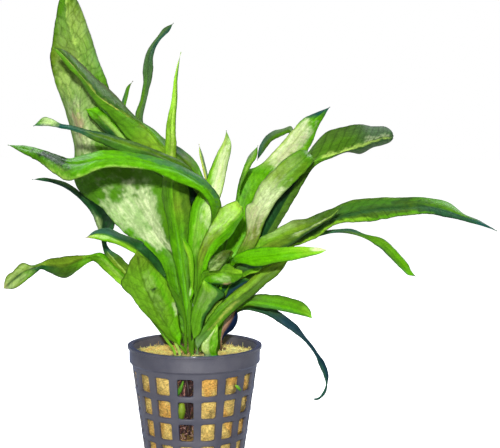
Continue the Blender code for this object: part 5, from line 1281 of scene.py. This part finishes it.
def wool_colour(points):
    x, y, z = points[:, 0], points[:, 1], points[:, 2]
    orange = np.clip(step(0.1, 0.6, noise(x / 4.5, (y + z) / 4.0, 71)) * 0.7 + step(2.0, -9.0, x) * (1 - step(-16.0, -20.5, x)) * step(46.0, 48.0, z) * 0.8, 0, 1)
    dark = step(0.35, 0.8, noise(x / 1.4 + 9, (y + z) / 1.2, 72)) * 0.7
    r = np.hypot(x, y)
    # painted shade: darker where the wool lies well back from the wall below its top, in the hollow behind the roots
    # and in the nook
    dark = np.maximum(dark, step(1.4, 3.0, wall_radius(z) - r) * step(46.5, 45.5, z) * 0.8)
    colour = WOOL_TAN * (1 - orange)[:, None] + WOOL_ORANGE * orange[:, None]
    # painted light: the top face of the plug is painted lighter, as if lit from above
    top = step(46.6, 48.0, z)[:, None]
    return (colour * (1 - dark)[:, None] + WOOL_DARK * dark[:, None]) * (1 + top * np.array((0.55, 0.62, 0.95)))


def wool_fibres():
    rng = np.random.default_rng(5)
    count = 1900
    deg, z = rng.uniform(-180, 180, count), rng.uniform(3, 46.0, count)
    keep = in_window(deg, z, 0.2) & ~((deg > -18.5) & (deg < -1.0) & (z > 18.5))
    deg, z = deg[keep], z[keep]
    r = wool_side(deg, z) + 0.10
    t = np.radians(deg)
    start = np.stack((r * np.sin(t), -r * np.cos(t), z), -1)
    out = np.stack((np.sin(t), -np.cos(t), 0 * t), -1)
    flat = np.stack((np.cos(t), np.sin(t), 0 * t), -1)
    lean = rng.uniform(-1.2, 1.2, len(z))
    way = flat * np.cos(lean)[:, None] * rng.choice((-1, 1), len(z))[:, None] + np.array((0, 0, 1.0)) * np.sin(lean)[:, None] + out * 0.08
    side = wavy(rng, start, way, rng.uniform(1.0, 2.6, len(z)), 5, 0.22)
    # kept within the wall's own thickness
    rr = np.hypot(side[..., 0], side[..., 1])
    most = wall_radius(side[..., 2]) - np.where(in_window(np.degrees(np.arctan2(side[..., 0], -side[..., 1])), side[..., 2], 0.15), 0.15, 0.72)
    shrink = np.minimum(1.0, most / rr)
    side[..., 0] *= shrink
    side[..., 1] *= shrink
    count = 2600
    r, t = 22.4 * np.sqrt(rng.uniform(0, 1, count)), rng.uniform(-math.pi, math.pi, count)
    x, y = r * np.sin(t), -r * np.cos(t)
    start = np.stack((x, y, wool_top(x, y) - 0.1), -1)
    way = np.stack((rng.normal(0, 1, count), rng.normal(0, 1, count), rng.uniform(0.0, 0.3, count)), -1)
    top = wavy(rng, start, way, rng.uniform(0.8, 2.6, count), 5, 0.3)
    rr = np.hypot(top[..., 0], top[..., 1])
    shrink = np.minimum(1.0, 22.9 / rr)
    top[..., 0] *= shrink
    top[..., 1] *= shrink
    lines = np.concatenate((side, top))
    taper = np.array((1.0, 1.0, 0.9, 0.7, 0.35))
    radii = rng.uniform(0.06, 0.13, len(lines))[:, None] * taper
    points, faces = strands(lines, radii, 3)
    obj = piece("wool_fibres", points, faces)
    base = np.repeat(rng.uniform(0.75, 1.35, len(lines)), 15)[:, None]
    warm = np.repeat(rng.uniform(0, 1, len(lines)), 15)[:, None]
    # painted light: the fibres on the top are painted lighter, as if lit from above
    high = (np.asarray(points)[:, 2] > 46.6)[:, None]
    paint(obj, (WOOL_TAN * (1 - warm * 0.5) + WOOL_ORANGE * warm * 0.5) * base * np.where(high, np.array((1.45, 1.50, 1.8)), 1.0))
    return obj


# ---- rhizome, roots and shoots

RHIZOME = [
    [(-7.0, -8.6, 47.6, 1.7), (-3.0, -5.0, 47.9, 2.4), (0.5, 0.5, 47.9, 2.6), (1.5, 7.0, 47.8, 2.5), (0.5, 13.5, 47.9, 2.1), (0.2, 16.0, 47.6, 1.5)],
    [(0.5, 0.5, 47.9, 2.3), (5.0, -1.5, 47.9, 2.5), (9.0, -2.5, 47.7, 2.2), (12.0, -1.5, 47.3, 1.5)],
    [(1.5, 7.0, 47.8, 2.2), (-2.5, 10.5, 47.9, 2.3), (-6.5, 12.2, 47.8, 2.0), (-8.5, 12.4, 47.5, 1.4)],
    [(1.5, 7.0, 47.8, 2.2), (5.5, 10.0, 47.8, 2.3), (6.2, 15.0, 47.8, 2.0), (5.8, 17.6, 47.6, 1.4)],
]
ROOTS = [
    [(-3.4, 18.6, 46.6, 1.1), (-3.2, 19.4, 43.5, 0.8), (-2.4, 20.3, 38.5, 0.7), (-2.6, 19.4, 33.0, 0.6), (-1.9, 18.6, 27.0, 0.55), (-2.0, 17.8, 21.5, 0.45)],
    [(-3.4, 18.6, 46.0, 1.1), (-4.2, 18.6, 42.0, 0.8), (-5.2, 17.4, 37.0, 0.7), (-5.1, 16.3, 31.0, 0.6), (-4.9, 16.4, 25.0, 0.5)],
    [(-3.4, 18.6, 45.4, 1.0), (-3.6, 17.8, 40.0, 0.8), (-3.3, 17.4, 33.0, 0.7), (-3.4, 17.0, 26.0, 0.6), (-3.2, 16.6, 20.5, 0.45)],
]


def lumpy_tube(line, radii, sides, spacing, lump, seed):
    """A tube through a few points, closed in rounded ends."""
    line = np.asarray(line, float)
    gaps = np.linalg.norm(np.diff(line, axis=0), axis=1)
    knots = np.concatenate(([0.0], np.cumsum(gaps)))
    at = np.linspace(0, knots[-1], max(6, int(knots[-1] / spacing)))
    path = smooth_curve(line, knots, at)
    r = np.interp(at, knots, radii)
    end = np.minimum(at - at[0], at[-1] - at)
    r = r * np.sqrt(np.clip(1 - (1 - np.clip(end / np.maximum(r, 0.05), 0, 1)) ** 2, 0.02, 1))
    points, faces = strands(path[None], r[None], sides)
    grid = points.reshape(len(at), sides, 3)
    if lump:
        out = grid - path[:, None, :]
        turn = np.arange(sides) * 2 * math.pi / sides
        rise = 1 + lump * noise(at[:, None] / 0.9, np.cos(turn)[None] * 2 + 3, seed) + lump * 0.8 * noise(at[:, None] / 0.5, np.sin(turn)[None] * 3 + 9, seed + 1)
        grid = path[:, None, :] + out * rise[:, :, None]
    return grid.reshape(-1, 3), faces


def gathered(name, bodies):
    points, faces, first = [], [], 0
    for p, f in bodies:
        points.append(p)
        faces += [[first + q for q in face] for face in f]
        first += len(p)
    return piece(name, np.concatenate(points), faces), np.concatenate(points)


def stem():
    bodies = []
    for k, line in enumerate(RHIZOME):
        bodies.append(lumpy_tube([(x, -d, z) for x, d, z, _ in line], [r for *_, r in line], 28, 0.35, 0.14, 80 + k))
    obj, points = gathered("stem", bodies)
    x, y, z = points.T
    green = step(0.0, 0.7, noise(x / 2.0, y / 2.0, 90))[:, None] * 0.5
    brown, moss = np.array((0.085, 0.050, 0.022)), np.array((0.10, 0.13, 0.03))
    paint(obj, brown * (1 - green) + moss * green)
    return obj


def crown_scales():
    """Brown scales and hairs on the stem, and pale young root tips among the stalks."""
    rng = np.random.default_rng(11)
    starts, ways, sizes, tints, kinds = [], [], [], [], []
    for line in RHIZOME:
        pts = np.array([(x, -d, z) for x, d, z, _ in line])
        rad = np.array([r for *_, r in line])
        for _ in range(90):
            t = rng.uniform(0, len(line) - 1.001)
            k = int(t)
            mid = pts[k] + (pts[k + 1] - pts[k]) * (t - k)
            r = rad[k] + (rad[k + 1] - rad[k]) * (t - k)
            along = unit(pts[k + 1] - pts[k])
            turn = rng.uniform(-1.9, 1.9)
            across = unit(np.cross(along, (0, 0, 1)))
            out = across * math.sin(turn) + np.array((0, 0, 1)) * math.cos(turn)
            starts.append(mid + out * r * 0.92)
            ways.append(out * 0.9 + along * rng.uniform(-0.8, 0.8) + rng.normal(0, 0.25, 3))
            kind = rng.uniform()
            sizes.append(rng.uniform(0.7, 1.6) if kind < 0.7 else rng.uniform(1.6, 3.4))
            kinds.append(kind)
            tints.append((0.20, 0.105, 0.035) if kind < 0.45 else (0.10, 0.045, 0.02) if kind < 0.7 else (0.42, 0.33, 0.10) if kind < 0.88 else (0.30, 0.20, 0.08))
    lines = wavy(rng, starts, ways, np.array(sizes), 5, 0.18)
    kinds = np.array(kinds)
    wide = np.where(kinds < 0.7, 0.30, 0.12)
    shape = np.where((kinds < 0.7)[:, None], np.array((0.7, 1.0, 0.9, 0.6, 0.12)), np.array((1.0, 0.95, 0.85, 0.6, 0.3)))
    points, faces = strands(lines, wide[:, None] * shape, 4)
    obj = piece("crown_scales", points, faces)
    paint(obj, np.repeat(np.array(tints) * rng.uniform(0.7, 1.3, (len(tints), 1)), 20, axis=0))
    return obj


def root_mass():
    rng = np.random.default_rng(23)
    bodies, tints = [], []
    for line in ROOTS:
        pts = [(x, -d, z) for x, d, z, _ in line]
        body = lumpy_tube(pts, [r * 0.85 for *_, r in line], 10, 0.5, 0.15, 95)
        bodies.append(body)
        tints.append(np.tile((0.020, 0.007, 0.006), (len(body[0]), 1)))
    for k in range(96):
        x0, x1, x2 = rng.uniform(-6.2, -0.8), rng.uniform(-6.4, -0.6), rng.uniform(-6.2, -0.8)
        d0, d1, d2 = rng.uniform(15.6, 19.0), rng.uniform(16.0, 20.0), rng.uniform(15.4, 18.2)
        foot = rng.uniform(19.5, 33.0)
        top = rng.uniform(42.0, 47.4)
        heights = np.linspace(top, foot, 7)
        xs = np.interp(np.linspace(0, 1, 7), (0, 0.5, 1), (x0, x1, x2)) + rng.normal(0, 1.1, 7)
        ds = np.interp(np.linspace(0, 1, 7), (0, 0.5, 1), (d0, d1, d2)) + rng.normal(0, 0.3, 7)
        xs = np.clip(xs, -6.7, -0.3)
        ds = np.minimum(ds, wall_radius(heights) * 0.975 - 1.0)
        r = rng.uniform(0.07, 0.20)
        body = lumpy_tube(np.stack((xs, -ds, heights), -1), np.linspace(r, r * 0.5, 7), 6, 0.7, 0.12, 100 + k)
        bodies.append(body)
        tone = rng.uniform(0.6, 1.8)
        base = np.array((0.018, 0.006, 0.006)) if rng.uniform() < 0.72 else np.array((0.30, 0.15, 0.12)) if rng.uniform() < 0.45 else np.array((0.13, 0.04, 0.03))
        tints.append(np.tile(base * tone, (len(body[0]), 1)))
    # a few short ones that tie the strands to the stem
    for k, (x, y) in enumerate(((-2.6, -17.2), (-1.6, -17.6), (-3.4, -16.2))):
        body = lumpy_tube([(0.0 - 0.4 * k, -15.6, 47.2), ((x - 0.2) * 0.6, y + 0.3, 46.6), (x, y - 0.6, 45.0), (x - 0.3, y - 0.8, 42.0)], [0.5, 0.55, 0.5, 0.3], 8, 0.5, 0.1, 150 + k)
        bodies.append(body)
        tints.append(np.tile((0.060, 0.022, 0.012), (len(body[0]), 1)))
    # short curled rootlets between them
    count = 420
    z = rng.uniform(20.0, 44.5, count)
    x = rng.uniform(-6.3, -0.7, count)
    y = -np.minimum(rng.uniform(16.4, 20.0, count), np.sqrt((wall_radius(z) - 1.2) ** 2 - x * x))
    way = rng.normal(0, 1, (count, 3)) * np.array((1.0, 0.5, 0.8))
    lines = wavy(rng, np.stack((x, y, z), -1), way, rng.uniform(0.9, 2.6, count), 5, 0.55)
    lines[..., 0] = np.clip(lines[..., 0], -6.8, -0.3)
    rr = np.hypot(lines[..., 0], lines[..., 1])
    shrink = np.minimum(1.0, (wall_radius(lines[..., 2]) - 0.85) / rr)
    lines[..., 0] *= shrink
    lines[..., 1] *= shrink
    points, faces = strands(lines, rng.uniform(0.05, 0.13, count)[:, None] * np.array((1.0, 1.0, 0.9, 0.75, 0.4)), 4)
    bodies.append((points, faces))
    pick = rng.uniform(0, 1, count)
    colour = np.where((pick < 0.55)[:, None], np.array((0.030, 0.009, 0.008)), np.where((pick < 0.82)[:, None], np.array((0.15, 0.06, 0.045)), np.array((0.55, 0.36, 0.30))))
    tints.append(np.repeat(colour * rng.uniform(0.6, 1.5, (count, 1)), 20, axis=0))
    obj, _ = gathered("root_mass", bodies)
    paint(obj, np.concatenate(tints))
    return obj


def young_shoot(name, line, radii, tip, foot):
    points, faces = lumpy_tube(line, radii, 20, 0.14, 0.03, 160)
    obj = piece(name, points, faces)
    z = points[:, 2]
    share = step(z.min(), z.max(), z)[:, None]
    paint(obj, np.array(foot) * (1 - share) + np.array(tip) * share)
    return obj


# ---- making

MATERIALS = {
    "pot_plastic": plastic_material("pot_plastic_satin"),
    "rock_wool": wool_material("rock_wool_fibrous"),
    "rhizome": rough_material("stem_bark", (0.5, 0.5, 0.5), (1.6, 1.5, 1.3), 1300.0, 0.75, 0.0005),
    "root": rough_material("root_skin", (0.5, 0.5, 0.5), (1.7, 1.5, 1.4), 1700.0, 0.5, 0.0003),
    "shoot": leaf_material("shoot_skin", 0.24, 0.36, 0.5),
    "leaf_mature": leaf_material("leaf_mature_blade", 0.36, 0.52, 0.45),
    "leaf_bright": leaf_material("leaf_bright_blade", 0.34, 0.48, 0.40),
    "leaf_pale": leaf_material("leaf_pale_blade", 0.36, 0.52, 0.42),
    "leaf_silver": leaf_material("leaf_silver_blade", 0.34, 0.50, 0.50),
    "leaf_dark": leaf_material("leaf_dark_blade", 0.38, 0.55, 0.35),
    "leaf_dry": leaf_material("leaf_dry_blade", 0.55, 0.75, 0.25),
}


def finished(obj, slot, node=None):
    obj.data.materials.clear()
    obj.data.materials.append(MATERIALS[slot])
    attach(obj, "root")
    if node:
        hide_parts(node)
    return obj


for number, (name, (slot, stations)) in enumerate(LEAVES.items()):
    finished(fine_leaf(name.replace("leaf_", "blade_"), stations, LOOKS[name], 200 + 37 * number), slot, name)

finished(net_pot(), "pot_plastic", "pot")
finished(wool_plug(), "rock_wool", "rock_wool")
finished(wool_fibres(), "rock_wool")
finished(stem(), "rhizome", "rhizome")
finished(crown_scales(), "rhizome")
finished(root_mass(), "root", "roots")
finished(young_shoot("bulb_young", [spot(181.2, 422, 18.4), spot(181.0, 418, 18.7), spot(181.3, 411, 18.9), spot(181.6, 405, 18.8), spot(181.8, 400.5, 18.4)], [0.5, 1.15, 1.6, 1.2, 0.3], (0.24, 0.34, 0.03), (0.07, 0.13, 0.006)), "shoot", "shoot_bulb")
finished(young_shoot("shoot_young_left", [spot(177.5, 396, 19.9), spot(179.4, 391, 20.3), spot(181.6, 386, 20.3), spot(183.2, 381, 19.9)], [0.45, 0.8, 0.6, 0.25], (0.10, 0.26, 0.02), (0.04, 0.14, 0.01)), "shoot", "shoot_left")
finished(young_shoot("shoot_young_right", [spot(240.5, 390.5, 17.2), spot(238, 387.5, 17.7), spot(235, 385, 17.9)], [0.3, 0.6, 0.3], (0.22, 0.46, 0.04), (0.06, 0.24, 0.01)), "shoot", "shoot_right")

# ---- floor, light and camera

floor, tree, shader = new_material("floor_white")
shader.inputs["Base Color"].default_value = (0.42, 0.42, 0.42, 1.0)
shader.inputs["Roughness"].default_value = 0.9
# the floor looks white and still takes the light and a soft shadow
lit = add(tree, "ShaderNodeEmission", Color=(1.0, 1.0, 1.0, 1.0), Strength=0.78)
pale = add(tree, "ShaderNodeBsdfDiffuse", Color=(0.88, 0.88, 0.88, 1.0), Roughness=0.0)
summed = tree.nodes.new("ShaderNodeAddShader")
only = tree.nodes.new("ShaderNodeMixShader")
tree.links.new(add(tree, "ShaderNodeLightPath").outputs["Is Camera Ray"], only.inputs[0])
tree.links.new(shader.outputs[0], only.inputs[1])
tree.links.new(pale.outputs[0], summed.inputs[0])
tree.links.new(lit.outputs[0], summed.inputs[1])
tree.links.new(summed.outputs[0], only.inputs[2])
tree.links.new(only.outputs[0], tree.nodes["Material Output"].inputs["Surface"])
ground = piece("floor", [(-9000, -9000, 0), (9000, -9000, 0), (9000, 9000, 0), (-9000, 9000, 0)], [(0, 1, 2, 3)])
ground.data.materials.append(floor)

world = bpy.data.worlds.new("studio")
world.use_nodes = True
tree = world.node_tree
tree.nodes.clear()
seen = add(tree, "ShaderNodeBackground", Color=(1.0, 1.0, 1.0, 1.0), Strength=1.0)
fill = add(tree, "ShaderNodeBackground", Color=(0.84, 0.90, 1.0, 1.0), Strength=0.075)
path = add(tree, "ShaderNodeLightPath")
both = tree.nodes.new("ShaderNodeMixShader")
tree.links.new(path.outputs["Is Camera Ray"], both.inputs[0])
tree.links.new(fill.outputs[0], both.inputs[1])
tree.links.new(seen.outputs[0], both.inputs[2])
tree.links.new(both.outputs[0], tree.nodes.new("ShaderNodeOutputWorld").inputs["Surface"])
bpy.context.scene.world = world


def area_light(name, at, towards, size, watts, colour=(1, 1, 1)):
    light = bpy.data.lights.new(name, "AREA")
    light.shape, light.size, light.energy, light.color = "DISK", size * MM, watts, colour
    obj = bpy.data.objects.new(name, light)
    obj.location = Vector(at) * MM
    obj.rotation_euler = (Vector(towards) - Vector(at)).to_track_quat("-Z", "Y").to_euler()
    bpy.context.scene.collection.objects.link(obj)


area_light("key", EYE + UP * 44 - SIDE * 12 - AHEAD * 6, (0, 0, 110), 12, 1.85)
area_light("back_left", (-370, 330, 520), (0, 0, 90), 300, 2.6, (0.90, 0.95, 1.0))
area_light("back_right", (390, 300, 500), (0, 0, 90), 300, 2.6, (0.90, 0.95, 1.0))
above = bpy.data.lights.new("above", "SUN")
above.energy, above.angle = 0.95, math.radians(34)
overhead = bpy.data.objects.new("above", above)
overhead.rotation_euler = Vector((0.03, 0.11, -1.0)).to_track_quat("-Z", "Y").to_euler()
bpy.context.scene.collection.objects.link(overhead)

camera = bpy.data.cameras.new("camera")
camera.sensor_width = 36.0
camera.sensor_fit = "HORIZONTAL"
camera.lens = 36.0 * REACH / 500
camera.clip_start, camera.clip_end = 0.01, 50.0
view = bpy.data.objects.new("camera", camera)
view.matrix_world = Matrix((
    (SIDE[0], UP[0], -AHEAD[0], EYE[0] * MM),
    (SIDE[1], UP[1], -AHEAD[1], EYE[1] * MM),
    (SIDE[2], UP[2], -AHEAD[2], EYE[2] * MM),
    (0, 0, 0, 1),
))
bpy.context.scene.collection.objects.link(view)
bpy.context.scene.camera = view
bpy.context.scene.view_settings.view_transform = "Standard"

bpy.context.view_layer.update()
